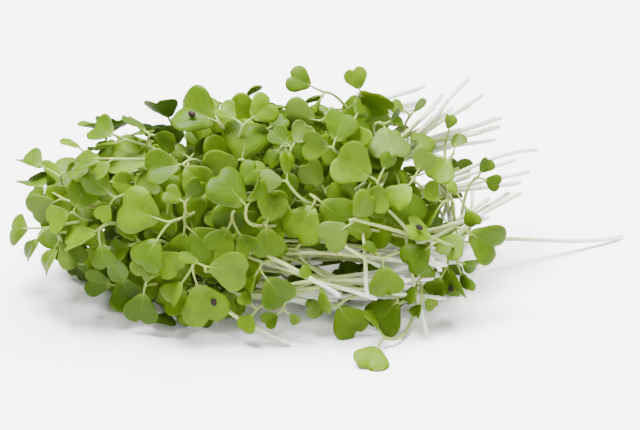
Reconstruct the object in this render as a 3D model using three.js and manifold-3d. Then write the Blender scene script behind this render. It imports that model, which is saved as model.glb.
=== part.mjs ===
// A loose heap of cut mustard seedlings, lying on a flat surface.
// Each seedling has a pale stem, two thin leaf stalks and two heart-shaped seed leaves.
// Seedlings whose stems cross at one point are fused there into a spray. The green
// part of a spray and its pale cut stems are two bodies that meet at that point.
//
// X runs along the heap, Y runs away from the front, Z is up. Millimetres.

import * as THREE from 'three';
import { mergeVertices } from 'three/addons/utils/BufferGeometryUtils.js';
import Module from 'manifold-3d';

const wasm = await Module();
wasm.setup();

// Driving dimensions of the heap.
const HEAP_LENGTH = 152;
const HEAP_DEPTH = 68;
const HEAP_HEIGHT = 60;
const HEAP_MIDDLE_X = -18;

// Driving dimensions of a seedling.
const BLADE_THICKNESS = 0.8;
const GREEN_STEM_RADIUS = 0.75;
const PALE_STEM_RADIUS = 0.9;
const CROSSING_OVERLAP = 1;
const SEED_HULL_LENGTH = 2.4;
const JOINT_GAP = 0.3;

// The heap's front view is taken from this height above the horizon.
const VIEW_ELEVATION = 30 * Math.PI / 180;

// The origin is under the middle of the heap, moved by this much from the front view's middle.
const ORIGIN = new THREE.Vector3(0.1, -2.5, 0);

// The outline of a seed leaf, as a radius round its middle, for a leaf 1 wide.
const THETA_LOBE_TIP = 0.36;
const THETA_BASE = 3.0;
const BASE_REACH = 0.423;
const NOTCH_REACH = 0.339;

function outlineRadius(theta) {
  const rounds = 0.456 + 0.073 * Math.cos(theta) - 0.015 * Math.cos(2 * theta) - 0.055 * Math.cos(3 * theta);
  const notch = 0.12 * Math.exp(-((theta / 0.2) ** 2));
  return rounds - notch;
}

// Sprays. A head's fork is where its two seed leaves part, given across and up in the
// front view. Each seed leaf has its middle across and up, its width, and its turn
// about its own rib in degrees: 0 faces the front, 90 stands on edge, 180 shows its back.
// Inset pushes a head into the heap, and ON_SURFACE pushes it down to the surface that
// the heap lies on. A head may have a cut end of its own.
const ON_SURFACE = 40;
const SPRAYS = [
  {
    name: 'left_end',
    crossing: [-50, 8, 20],
    cut: [-8, 14, 14],
    heads: [
      { fork: [-82.5, 17], leaves: [[-92, 17, 10, 15], [-87, 11, 8.5, 60]] },
      { fork: [-78, 33], leaves: [[-87, 37, 9, 50], [-74, 34.5, 5, 20]] },
      { fork: [-77, 26], leaves: [[-86, 31, 10, 50], [-83, 23, 10.5, 160]] },
      { fork: [-73.5, 22], leaves: [[-78, 20, 9, 20], [-71, 27, 10, 10]] },
    ],
  },
  {
    name: 'left_top',
    crossing: [-38, 14, 34],
    cut: [4, 22, 24],
    heads: [
      { fork: [-61, 26], leaves: [[-66, 30.5, 10.5, -30], [-64, 21.5, 6, 10]] },
      { fork: [-58, 43.5], leaves: [[-65, 46.5, 9.5, 20], [-64, 41, 7, 80]] },
      { fork: [-61, 37], leaves: [[-69, 37, 10, 65], [-64.5, 34, 7, 30]] },
      { fork: [-52, 36], leaves: [[-57.5, 38, 14, 10], [-52, 30.5, 9, 150]] },
      { fork: [-50.5, 45], leaves: [[-55, 48, 9, 75], [-46, 43.5, 8, 40]] },
    ],
  },
  {
    name: 'lower_left',
    crossing: [-45, -4, 10],
    cut: [-2, -10, 9],
    heads: [
      { fork: [-77.5, 14], leaves: [[-81, 8, 10, 65], [-74.5, 9.5, 10, 150]] },
      { fork: [-66, 16.5], leaves: [[-71, 14, 12, 60], [-64.5, 8.5, 8, 20]] },
      { fork: [-69, 8], inset: ON_SURFACE, leaves: [[-73, 3, 9, 200], [-66, 4, 6, 20]] },
      { fork: [-54, 13], inset: 2, leaves: [[-56.5, 17, 9, 40], [-59.5, 11, 6.5, 0]] },
    ],
  },
  {
    name: 'front_left',
    crossing: [-27, -17, 9],
    cut: [18, -20, 4],
    heads: [
      { fork: [-56, 3], inset: ON_SURFACE, leaves: [[-62, -0.5, 10, 200], [-59.5, 6.5, 7, 30]] },
      { fork: [-49, 11], leaves: [[-52, 5.5, 8, 20], [-44.5, 7, 9, 10]] },
      { fork: [-38, 5], leaves: [[-34.5, -5.5, 14.5, 0], [-43, -2, 8.5, 40]] },
      { fork: [-45, -6], inset: ON_SURFACE, leaves: [[-54, -5, 11, 70], [-47, -11, 8, 190]] },
    ],
  },
  {
    name: 'middle_left',
    crossing: [-22, 4, 28],
    cut: [22, 8, 17],
    heads: [
      { fork: [-40.5, 36], leaves: [[-37, 32, 10, 0], [-46.5, 35, 11.5, 20]] },
      { fork: [-40, 24.5], leaves: [[-43.5, 26.5, 6.5, 10], [-37, 28, 8, 50]] },
      { fork: [-44.5, 19], leaves: [[-53, 22, 14.5, -10], [-50.5, 10, 11, 10]] },
      { fork: [-40, 18], leaves: [[-41, 12.5, 7.5, 0], [-34.5, 13, 12, 10]] },
    ],
  },
  {
    name: 'top_left',
    crossing: [-2, 10, 36],
    cut: [34, 30, 30],
    heads: [
      { fork: [-38.5, 38], inset: 3, leaves: [[-41.5, 40, 5, 200], [-35.5, 41.5, 6.5, 30]] },
      { fork: [-30, 48.5], leaves: [[-36.5, 51.5, 15, 10], [-32.5, 53, 6, 30]] },
      { fork: [-23, 47.5], leaves: [[-28, 51, 7.5, 30], [-17.5, 52, 10, 10]] },
      { fork: [-23, 37.5], leaves: [[-22, 43, 14.5, 0], [-29, 35.5, 12, -20]] },
    ],
  },
  {
    name: 'centre_left',
    crossing: [-12, -9, 17],
    cut: [30, -8, 14],
    heads: [
      { fork: [-26, 19.5], leaves: [[-29, 13.5, 9.5, 10], [-22, 12.5, 7.5, -10]] },
      { fork: [-34, 6.5], leaves: [[-27.5, 5.5, 13, 30], [-39, 8.5, 7, 60]] },
    ],
  },
  {
    name: 'centre',
    crossing: [14, 2, 26],
    cut: [64, 18, 31],
    heads: [
      { fork: [-16, 18], leaves: [[-15.5, 13, 10, 0], [-14.5, 23, 9.5, 10]] },
      { fork: [-1, 26], leaves: [[-5, 19, 13, 20], [4, 22, 11, 10]] },
      { fork: [-10, 31], leaves: [[-9.5, 36, 8, 60], [-14.5, 31, 7.5, 200]] },
      { fork: [-22, 23], leaves: [[-26.5, 28, 14, 30], [-19, 27, 9, 60]] },
    ],
  },
  {
    name: 'centre_low',
    crossing: [2, -20, 12],
    cut: [27, -17, 13],
    heads: [
      { fork: [-18, 5], leaves: [[-13, -1.5, 11, 10], [-20.5, 1, 6, 60]] },
      { fork: [-0.5, 1], leaves: [[0.5, -4.5, 9, 70], [-4, 4, 5, 40]] },
      { fork: [-11, -7], leaves: [[-14.5, -10, 5.5, 10], [-7.5, -9.5, 4.5, 50]] },
      { fork: [-19, -7], leaves: [[-21.5, -11, 6.5, 20], [-22, -4, 5, 30]] },
    ],
  },
  {
    name: 'top',
    crossing: [20, 12, 38],
    cut: [54, 27, 40],
    heads: [
      { fork: [-8.5, 41], leaves: [[-12, 44, 7, 20], [-5.5, 45, 7.5, 170]] },
      { fork: [0.5, 49], inset: 5, leaves: [[-6, 50.5, 11, 160], [3, 47, 7, 70]] },
      { fork: [1, 58], leaves: [[-6, 61.5, 8.5, 10], [-0.5, 54, 5, 75]] },
      { fork: [12.5, 57], leaves: [[11, 62, 7.5, 20], [16, 54.5, 13, 60]] },
      { fork: [19, 48], leaves: [[20.5, 42.5, 13, 160], [22.5, 50, 6, 20]] },
    ],
  },
  {
    name: 'top_right',
    crossing: [26, 6, 46],
    cut: [44, 32, 49],
    heads: [
      { fork: [4, 41], leaves: [[6, 47, 11, 10], [-1, 41.5, 9, -10]] },
      { fork: [9.5, 48.5], leaves: [[11.5, 44, 8.5, 10], [12, 52.5, 6.5, 30]] },
      { fork: [17, 31], leaves: [[10, 35.5, 13.5, 0], [20, 37, 6, 30]] },
      { fork: [1.5, 28.5], inset: 8, leaves: [[-2, 33, 9, 200], [5.5, 32.5, 10, 30]] },
    ],
  },
  {
    name: 'centre_right',
    crossing: [36, -12, 24],
    cut: [60, 12, 25],
    heads: [
      { fork: [9.5, 18.5], leaves: [[4.5, 15, 10, 190], [13, 22.5, 10, 40]] },
      { fork: [18.5, 8], leaves: [[19.5, 1.5, 10.5, 0], [15, 11, 6, 60]] },
    ],
  },
  {
    name: 'front',
    crossing: [30, -12, 4.5],
    cut: [46, 6, 3],
    heads: [
      { fork: [5, -9.5], leaves: [[8, -14, 11.5, 10], [-1.5, -10.5, 7, 200]] },
      { fork: [18.5, -16.5], leaves: [[15.5, -21.5, 11, 20], [15.5, -11.5, 7.5, 70]] },
      { fork: [24, -7], leaves: [[20, -12, 12.5, 20], [20.5, -4.5, 5, 60]] },
    ],
  },
  {
    name: 'front_right',
    crossing: [28, 8, 8],
    cut: [22, 36, 3],
    heads: [
      { fork: [29.5, 1.5], inset: 3, leaves: [[27, -2, 7.5, 65], [32, 3.5, 5, 30]] },
      { fork: [30.5, -3.5], leaves: [[33, -5.5, 4.5, 20], [29.5, -7.5, 5, 50]] },
      { fork: [38, 5.5], inset: 5, leaves: [[39.5, 0.5, 12, 60], [35, -0.5, 7, 20]] },
      { fork: [41, 7], leaves: [[45, 5.5, 6, 30], [43, 0.5, 7, 60]] },
    ],
  },
  {
    name: 'right_low',
    crossing: [42, 0, 15],
    cut: [47, 26, 13],
    heads: [
      { fork: [43, 16.5], leaves: [[49.5, 13, 13, 0], [39.5, 12, 9.5, 30]] },
      { fork: [35, 13.5], inset: -2, cut: [95, 27.5, 0.5], leaves: [[29.5, 16.5, 10, 50], [29, 9, 10, 10]] },
      { fork: [36.5, 25], leaves: [[33, 27.5, 7, 30], [33, 20.5, 6.5, 70]] },
      { fork: [43, 24], leaves: [[40, 29, 5, 50], [45, 20, 6.5, 40]] },
      { fork: [48, 32.5], leaves: [[50, 36, 5.5, 30], [52.5, 31, 5.5, 10]] },
    ],
  },
  {
    name: 'right_top',
    crossing: [38, -2, 32],
    cut: [40, 20, 2],
    heads: [
      { fork: [27.5, 51], leaves: [[30, 54, 6, 60], [23.5, 53.5, 5, 40]] },
      { fork: [38.5, 44.5], leaves: [[32, 43.5, 9, 40], [39.5, 49, 5, 40]] },
      { fork: [40, 39.5], leaves: [[41.5, 43.5, 5.5, 150], [36.5, 35.5, 10, 10]] },
      { fork: [28, 32], leaves: [[30.5, 37, 8, 200], [24, 27, 9.5, 30]] },
    ],
  },
];

// The back of the heap: sprays with their heads drawn at random over one stretch of it.
const BACK_SPRAYS = [
  { name: 'back_left', crossing: [-24, 18, 11], cut: [16, 25, 3], reachX: [-72, -40], heads: 5 },
  { name: 'back_middle', crossing: [-8, 20, 44], cut: [30, 40, 42], reachX: [-36, 4], heads: 5 },
  { name: 'back_right', crossing: [2, 35, 18], cut: [-36, 35, 5], reachX: [8, 44], heads: 5 },
];
const BACK_LEAF_WIDTH = [7, 12];
const BACK_HEAD_RISE = [15, 70];

// Empty seed hulls that still cling to seed leaves: spray, head, leaf, and place on the blade.
const SEED_HULLS = [
  { name: 'seed_hull_1', spray: 'top_left', head: 1, leaf: 0, along: 0.05, across: 0.12 },
  { name: 'seed_hull_2', spray: 'front_left', head: 2, leaf: 0, along: 0.0, across: 0.2 },
  { name: 'seed_hull_3', spray: 'right_low', head: 1, leaf: 0, along: 0.1, across: 0.1 },
  { name: 'seed_hull_4', spray: 'front_right', head: 2, leaf: 0, along: 0.1, across: 0.0 },
  { name: 'seed_hull_5', spray: 'top', head: 4, leaf: 0, along: -0.1, across: 0.1 },
];

// How far the blades may cup, fold and arch, as shares of their width.
const CUP_RANGE = [-0.25, 0.45];
const FOLD_RANGE = [0, 0.35];
const ARCH_RANGE = [-0.15, 0.45];

// Clearance while the heap is laid out: half-distances kept round each sample point.
const BLADE_MARGIN = 0.85;
const STALK_MARGIN = 0.8;
const STEM_MARGIN = 1.15;
const LANE_MARGIN = 2.2;
const LANE_LEAD = 4;
const STEM_SAMPLE_STEP = 1.5;
const LOWEST_LEAF_POINT = 0.15;
const LOWEST_HEAD_PLACE = 1.2;

// Later trials move a head or a stem further from where it was asked to be.
const HEAD_TRIALS = 40;
const STEM_TRIALS = 120;
const STEM_ROUNDS = 4;
const HEAD_DEPTH_STEP = 0.5;
const HEAD_SHIFT_STEP = 0.05;
const HEAD_TURN_STEP = 1.2;
const STEM_SHIFT_STEP = 0.1;

// The share of a seed leaf's depth before its fork that is taken away, so that its face shows.
const LEAF_LEVELLING = 0.5;

const BLADE_SAMPLE_STEPS = 5;
const LARGE_LEAF_WIDTH = 9;
const LARGE_LEAF_CELLS = 4;
const SMALL_LEAF_CELLS = 3;
const STEM_SIDES = 4;
const GREEN_STEM_STEPS = 4;
const PALE_STEM_STEPS = 3;
const CUT_SPREAD = 4;
const CUT_STAGGER = 5;
const LOWEST_STEM_CENTRE = 0.5;
const FLOOR_NORMAL = [0, 0, 1];
const CLEAN_UP = 0.02;

const LEAF_GREEN = 0x8fae2c;
const STEM_PALE = 0xdde5c0;
const HULL_BROWN = 0x2e2320;

const towardViewer = new THREE.Vector3(0, -Math.cos(VIEW_ELEVATION), Math.sin(VIEW_ELEVATION));

// A small repeatable random source, so that the heap is the same each time.
function randomSource(seed) {
  let state = seed >>> 0;
  return function draw(low = 0, high = 1) {
    state = (state + 0x6D2B79F5) >>> 0;
    let mixed = state;
    mixed = Math.imul(mixed ^ (mixed >>> 15), mixed | 1);
    mixed ^= mixed + Math.imul(mixed ^ (mixed >>> 7), mixed | 61);
    const share = ((mixed ^ (mixed >>> 14)) >>> 0) / 4294967296;
    return low + (high - low) * share;
  };
}

// The heap's size at one place along it, as a share of its full depth and height.
function fullnessAt(across) {
  const share = Math.abs(across - HEAP_MIDDLE_X) / (HEAP_LENGTH / 2);
  return Math.sqrt(Math.max(1 - share ** 3, 0.05));
}

// The point of the front view, across and up, on the heap's skin or on the surface in front of it.
function frontPoint(across, up, inset) {
  const sine = Math.sin(VIEW_ELEVATION);
  const cosine = Math.cos(VIEW_ELEVATION);
  const depth = fullnessAt(across) * HEAP_DEPTH / 2;
  const height = fullnessAt(across) * HEAP_HEIGHT;
  const a = 1 / depth ** 2 + (sine / cosine) ** 2 / height ** 2;
  const b = -2 * up * sine / (cosine * height) ** 2;
  const c = (up / (cosine * height)) ** 2 - 1;
  const root = Math.sqrt(Math.max(b * b - 4 * a * c, 0));
  let y = (-b - root) / (2 * a) + inset * cosine;
  let z = (up - y * sine) / cosine;
  if (z < LOWEST_HEAD_PLACE) {
    z = LOWEST_HEAD_PLACE;
    y = (up - z * cosine) / sine;
  }
  return new THREE.Vector3(across, y, z);
}

// One seed leaf: its middle, its rib direction, the direction it faces, and its curves.
function makeLeaf(middle, fork, facing, width, random) {
  const along = middle.clone().sub(fork).normalize();
  const normal = facing.clone().addScaledVector(along, -facing.dot(along)).normalize();
  const across = normal.clone().cross(along);
  return {
    middle,
    along,
    across,
    normal,
    width,
    cup: random(...CUP_RANGE),
    fold: random(...FOLD_RANGE),
    arch: random(...ARCH_RANGE),
  };
}

// A point of a blade: x along the rib and y across it, as shares of the width.
function bladePoint(leaf, x, y, lift) {
  const fromBase = x + BASE_REACH;
  const rise = leaf.cup * 2 * y * y + leaf.fold * 0.5 * Math.abs(y) - leaf.arch * 0.6 * fromBase * fromBase;
  const slopeX = -leaf.arch * 1.2 * fromBase;
  const slopeY = leaf.cup * 4 * y + leaf.fold * 0.5 * Math.sign(y);
  const upward = leaf.normal.clone();
  upward.addScaledVector(leaf.along, -slopeX);
  upward.addScaledVector(leaf.across, -slopeY);
  upward.normalize();
  const point = leaf.middle.clone();
  point.addScaledVector(leaf.along, x * leaf.width);
  point.addScaledVector(leaf.across, y * leaf.width);
  point.addScaledVector(leaf.normal, rise * leaf.width);
  return point.addScaledVector(upward, lift);
}

// A blade's grid: s runs from the base to the notched end, t from one margin to the other.
function bladeGridPoint(leaf, s, t, lift) {
  const side = Math.abs(t);
  const theta = THETA_LOBE_TIP + (THETA_BASE - THETA_LOBE_TIP) * (1 - s);
  const radius = outlineRadius(theta);
  const ribX = -BASE_REACH + s * (BASE_REACH + NOTCH_REACH);
  const x = ribX * (1 - side) + radius * Math.cos(theta) * side;
  const y = radius * Math.sin(theta) * t;
  return bladePoint(leaf, x, y, lift);
}

function leafBase(leaf) {
  return bladePoint(leaf, -BASE_REACH, 0, 0);
}

// Sample points of a head, each with the margin kept round it.
function headSamples(head) {
  const samples = [];
  for (const leaf of head.leaves) {
    for (let i = 0; i <= BLADE_SAMPLE_STEPS; i += 1) {
      for (let j = 0; j <= BLADE_SAMPLE_STEPS; j += 1) {
        const s = i / BLADE_SAMPLE_STEPS;
        const t = 2 * j / BLADE_SAMPLE_STEPS - 1;
        samples.push({ point: bladeGridPoint(leaf, s, t, 0), margin: BLADE_MARGIN });
      }
    }
    const base = leafBase(leaf);
    const steps = Math.max(1, Math.ceil(base.distanceTo(head.fork) / STEM_SAMPLE_STEP));
    for (let k = 0; k < steps; k += 1) {
      samples.push({ point: head.fork.clone().lerp(base, k / steps), margin: STALK_MARGIN });
    }
  }
  return samples;
}

function curveSamples(curve) {
  const samples = [];
  const steps = Math.ceil(curve.v0.distanceTo(curve.v3) * 1.1 / STEM_SAMPLE_STEP);
  for (let k = 0; k <= steps; k += 1) {
    samples.push({ point: curve.getPoint(k / steps), margin: STEM_MARGIN });
  }
  return samples;
}

// How many samples come too near to other sprays, or to a neighbour's seed leaves.
function countClashes(samples, settled, owner) {
  let clashes = 0;
  for (const sample of samples) {
    for (const other of settled) {
      const sameSpray = other.owner.spray === owner.spray;
      if (sameSpray && (other.owner.kind === 'stem' || other.owner.index === owner.index)) {
        continue;
      }
      const reach = sample.margin + other.margin;
      if (sample.point.distanceToSquared(other.point) < reach * reach) {
        clashes += 1;
        break;
      }
    }
  }
  return clashes;
}

// Runs the trials and keeps the first clear one, or else the one with the fewest clashes.
function bestTrial(trials, makeTrial, settled, owner) {
  let best = null;
  for (let trial = 0; trial < trials; trial += 1) {
    const made = makeTrial(trial);
    const clashes = countClashes(made.samples, settled, owner);
    if (best === null || clashes < best.clashes) {
      best = { ...made, clashes };
    }
    if (clashes === 0) {
      break;
    }
  }
  return best;
}

// Lifts a head that dips under the surface it lies on.
function liftToFloor(head) {
  let lowest = Infinity;
  for (const sample of headSamples(head)) {
    lowest = Math.min(lowest, sample.point.z);
  }
  const lift = Math.max(0, LOWEST_LEAF_POINT - lowest);
  head.fork.z += lift;
  for (const leaf of head.leaves) {
    leaf.middle.z += lift;
  }
}

// A head asked for in the front view.
function frontHead(wanted, trial, random) {
  const swing = trial % 2 === 0 ? 1 : -1;
  const inset = (wanted.inset ?? 0) + swing * trial * HEAD_DEPTH_STEP;
  const shift = trial * HEAD_SHIFT_STEP;
  const shiftAcross = random(-shift, shift);
  const shiftUp = random(-shift, shift);
  const place = ([across, up], depth) => frontPoint(across + shiftAcross, up + shiftUp, depth);
  const fork = place(wanted.fork, inset);
  const leaves = wanted.leaves.map(([across, up, width, turn]) => {
    const ahead = place([across, up], inset).sub(fork).dot(towardViewer);
    const middle = place([across, up], inset + ahead * LEAF_LEVELLING);
    const along = middle.clone().sub(fork).normalize();
    const facing = towardViewer.clone().addScaledVector(along, -towardViewer.dot(along)).normalize();
    const turned = turn + random(-HEAD_TURN_STEP, HEAD_TURN_STEP) * trial;
    facing.applyAxisAngle(along, turned * Math.PI / 180);
    return makeLeaf(middle, fork, facing, width, random);
  });
  return { fork, leaves };
}

// A head drawn at random on the back of the heap.
function backHead(reachX, random) {
  const x = random(...reachX);
  const rise = random(...BACK_HEAD_RISE) * Math.PI / 180;
  const fullness = fullnessAt(x);
  const outward = new THREE.Vector3(0, Math.cos(rise), Math.sin(rise));
  const fork = new THREE.Vector3(
    x,
    outward.y * fullness * HEAP_DEPTH / 2,
    outward.z * fullness * HEAP_HEIGHT,
  );
  const spin = random(0, Math.PI);
  const sideways = new THREE.Vector3(1, 0, 0).applyAxisAngle(outward, spin);
  const leaves = [1, -1].map((side) => {
    const width = random(...BACK_LEAF_WIDTH);
    const reach = (BASE_REACH + 0.15) * width + random(0.5, 2);
    const direction = sideways.clone().multiplyScalar(side).addScaledVector(outward, random(0, 0.6)).normalize();
    const middle = fork.clone().addScaledVector(direction, reach);
    return makeLeaf(middle, fork, outward, width, random);
  });
  return { fork, leaves };
}

// The stem's direction where it meets the fork: away from both seed leaves.
function forkDirection(head) {
  const direction = new THREE.Vector3();
  for (const leaf of head.leaves) {
    direction.addScaledVector(leaf.along, 0.6);
    direction.addScaledVector(leaf.normal, 0.3);
  }
  return direction.normalize();
}

// One half of a stem, from its spray's crossing to its own end.
function halfStem(start, heading, end, arrival, wander) {
  const span = start.distanceTo(end);
  const leaving = end.clone().sub(start).normalize().add(heading).normalize();
  const first = start.clone().addScaledVector(leaving, span * 0.35).addScaledVector(wander(), 0.5);
  const second = end.clone().addScaledVector(arrival, -span * 0.3).add(wander());
  second.z = Math.max(second.z, PALE_STEM_RADIUS);
  return new THREE.CubicBezierCurve3(start, first, second, end.clone());
}

function crossingPoint(spray) {
  return new THREE.Vector3(...spray.crossing);
}

// The direction of a spray at its crossing, towards its heads.
function crossingHeading(spray) {
  return crossingPoint(spray).sub(new THREE.Vector3(...spray.cut)).normalize();
}

// A whole stem: green from the crossing to the fork, and pale from the crossing to the cut.
// Both halves start a little beyond the crossing, so that they can be cut square there.
function makeStem(spray, head, cutEnd, trial, random) {
  const heading = crossingHeading(spray);
  const backward = heading.clone().negate();
  const towardCut = cutEnd.clone().sub(crossingPoint(spray)).normalize();
  const shift = trial * STEM_SHIFT_STEP;
  const wander = () => new THREE.Vector3(random(-shift, shift), random(-shift, shift), random(-shift, shift));
  const greenStart = crossingPoint(spray).addScaledVector(heading, -CROSSING_OVERLAP);
  const paleStart = crossingPoint(spray).addScaledVector(heading, CROSSING_OVERLAP);
  return {
    green: halfStem(greenStart, heading, head.fork, forkDirection(head), wander),
    pale: halfStem(paleStart, backward, cutEnd, towardCut, wander),
  };
}

// Where a seedling's stem was cut: round its spray's cut, or at a place of its own.
function cutEndFor(spray, wanted, place, trial, random) {
  if (wanted.cut) {
    return new THREE.Vector3(...wanted.cut);
  }
  const angle = 2 * Math.PI * (place + random(-0.1, 0.1));
  const spread = CUT_SPREAD + trial * STEM_SHIFT_STEP * random(0, 0.5);
  const end = new THREE.Vector3(...spray.cut);
  const heading = new THREE.Vector3(...spray.crossing).sub(end).normalize();
  const side = new THREE.Vector3(0, 0, 1).cross(heading).normalize();
  const upward = heading.clone().cross(side);
  end.addScaledVector(side, Math.cos(angle) * spread);
  end.addScaledVector(upward, Math.sin(angle) * spread);
  end.addScaledVector(heading, random(-CUT_STAGGER, CUT_STAGGER));
  end.z = Math.max(end.z, LOWEST_STEM_CENTRE);
  return end;
}

// Every spray with its number and the heads asked for.
function listSprays() {
  const sprays = [...SPRAYS];
  for (const spray of BACK_SPRAYS) {
    sprays.push({ ...spray, heads: Array.from({ length: spray.heads }, () => ({ back: true })) });
  }
  return sprays.map((spray, number) => ({ ...spray, number, seedlings: [] }));
}

// The straight lanes that the crossed stems will take, kept free of seed leaves.
function stemLanes(sprays) {
  const lanes = [];
  for (const spray of sprays) {
    const start = crossingPoint(spray).addScaledVector(crossingHeading(spray), LANE_LEAD);
    const end = new THREE.Vector3(...spray.cut);
    const steps = Math.ceil(start.distanceTo(end) / LANE_MARGIN);
    const owner = { spray: `${spray.name} lane`, index: 0, kind: 'lane' };
    for (let k = 0; k <= steps; k += 1) {
      lanes.push({ point: start.clone().lerp(end, k / steps), margin: LANE_MARGIN, owner });
    }
  }
  return lanes;
}

function settleHeads(sprays, settled) {
  for (const spray of sprays) {
    for (const [index, wanted] of spray.heads.entries()) {
      const random = randomSource(spray.number * 100 + index);
      const makeTrial = (trial) => {
        const head = wanted.back ? backHead(spray.reachX, random) : frontHead(wanted, trial, random);
        liftToFloor(head);
        return { head, samples: headSamples(head) };
      };
      const owner = { spray: spray.name, index, kind: 'head' };
      const best = bestTrial(HEAD_TRIALS, makeTrial, settled, owner);
      settled.push(...best.samples.map((sample) => ({ ...sample, owner })));
      spray.seedlings.push({ wanted, head: best.head, headClashes: best.clashes });
    }
  }
}

// Routes one stem clear of what is settled, in place of its earlier route if it had one.
function settleStem(spray, index, round, settled) {
  const seedling = spray.seedlings[index];
  const place = index / spray.seedlings.length;
  const random = randomSource(spray.number * 100 + index + (round + 1) * 10000);
  const makeTrial = (trial) => {
    const cutEnd = cutEndFor(spray, seedling.wanted, place, trial, random);
    const stem = makeStem(spray, seedling.head, cutEnd, trial, random);
    return { stem, samples: [...curveSamples(stem.green), ...curveSamples(stem.pale)] };
  };
  const owner = { spray: spray.name, index, kind: 'stem' };
  const best = bestTrial(STEM_TRIALS, makeTrial, settled, owner);
  seedling.stem = best.stem;
  seedling.stemSamples = best.samples;
  seedling.stemClashes = best.clashes;
  const others = settled.filter((sample) => sample.owner.spray !== owner.spray
    || sample.owner.index !== index || sample.owner.kind !== 'stem');
  return [...others, ...best.samples.map((sample) => ({ ...sample, owner }))];
}

// Lays out the whole heap: every head, then every stem between them, and then, in a few
// more rounds, again each stem that still passes too near to something.
function layOutHeap() {
  const sprays = listSprays();
  let settled = stemLanes(sprays);
  settleHeads(sprays, settled);
  settled = settled.filter((sample) => sample.owner.kind !== 'lane');
  for (let round = 0; round < STEM_ROUNDS; round += 1) {
    for (const spray of sprays) {
      for (const [index, seedling] of spray.seedlings.entries()) {
        const owner = { spray: spray.name, index, kind: 'stem' };
        if (round === 0 || countClashes(seedling.stemSamples, settled, owner) > 0) {
          settled = settleStem(spray, index, round, settled);
        }
      }
    }
  }
  return sprays;
}

// A closed triangle geometry as a solid that can be joined and cut.
function toSolid(geometry) {
  geometry.deleteAttribute('normal');
  geometry.deleteAttribute('uv');
  const merged = mergeVertices(geometry, 1e-4);
  return new wasm.Manifold(new wasm.Mesh({
    numProp: 3,
    vertProperties: merged.attributes.position.array,
    triVerts: new Uint32Array(merged.index.array),
  }));
}

function toGeometry(solid) {
  const mesh = solid.getMesh();
  const geometry = new THREE.BufferGeometry();
  geometry.setAttribute('position', new THREE.BufferAttribute(mesh.vertProperties, 3));
  geometry.setIndex(new THREE.BufferAttribute(mesh.triVerts, 1));
  geometry.computeVertexNormals();
  return geometry;
}

function roundSection(radius, sides) {
  const corners = [];
  for (let k = 0; k < sides; k += 1) {
    const angle = 2 * Math.PI * k / sides;
    corners.push(new THREE.Vector2(radius * Math.cos(angle), radius * Math.sin(angle)));
  }
  return new THREE.Shape(corners);
}

function rod(curve, radius, sides, steps) {
  const section = roundSection(radius, sides);
  return toSolid(new THREE.ExtrudeGeometry(section, { steps, extrudePath: curve, bevelEnabled: false }));
}

// Points and outward triangles of one closed body.
class Body {
  constructor() {
    this.points = [];
    this.triangles = [];
  }

  addPoint(point) {
    this.points.push(point.x, point.y, point.z);
    return this.points.length / 3 - 1;
  }

  // A flat or slightly bent polygon, seen anticlockwise from outside, fanned from its first corner.
  addFace(corners) {
    for (let k = 2; k < corners.length; k += 1) {
      this.triangles.push(corners[0], corners[k - 1], corners[k]);
    }
  }

  toSolid() {
    const geometry = new THREE.BufferGeometry();
    geometry.setAttribute('position', new THREE.Float32BufferAttribute(this.points, 3));
    geometry.setIndex(this.triangles);
    return toSolid(geometry);
  }
}

// The stem's side that faces the first seed leaf, square to the stem's end.
function forkSide(head, tangent) {
  const side = head.leaves[0].along.clone().sub(head.leaves[1].along);
  side.addScaledVector(tangent, -side.dot(tangent));
  return side.normalize();
}

// Square rings along a stem, turned so that one side of the last faces the first seed leaf.
function addStemRings(body, curve, head) {
  const frames = curve.computeFrenetFrames(GREEN_STEM_STEPS);
  const tip = frames.tangents[GREEN_STEM_STEPS];
  const side = forkSide(head, tip);
  const turn = Math.atan2(side.dot(frames.binormals[GREEN_STEM_STEPS]), side.dot(frames.normals[GREEN_STEM_STEPS]));
  const rings = [];
  for (let k = 0; k <= GREEN_STEM_STEPS; k += 1) {
    const centre = curve.getPointAt(k / GREEN_STEM_STEPS);
    const ring = [];
    for (let corner = 0; corner < STEM_SIDES; corner += 1) {
      const angle = turn + 2 * Math.PI * (corner + 0.5) / STEM_SIDES;
      const point = centre.clone();
      point.addScaledVector(frames.normals[k], GREEN_STEM_RADIUS * Math.cos(angle));
      point.addScaledVector(frames.binormals[k], GREEN_STEM_RADIUS * Math.sin(angle));
      ring.push(body.addPoint(point));
    }
    rings.push(ring);
  }
  for (let k = 0; k < GREEN_STEM_STEPS; k += 1) {
    addTube(body, rings[k], rings[k + 1]);
  }
  body.addFace([...rings[0]].reverse());
  return { lastRing: rings[GREEN_STEM_STEPS], tip, side };
}

function addTube(body, from, to) {
  for (let k = 0; k < from.length; k += 1) {
    const next = (k + 1) % from.length;
    body.addFace([from[k], from[next], to[next], to[k]]);
  }
}

// One cell of a blade, with a margin point, a rib point and a margin point at each end.
function bladeCell(near, far) {
  return [
    [near[0], far[0], far[1]],
    [near[0], far[1], near[1]],
    [near[2], near[1], far[1]],
    [near[2], far[1], far[2]],
  ];
}

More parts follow.
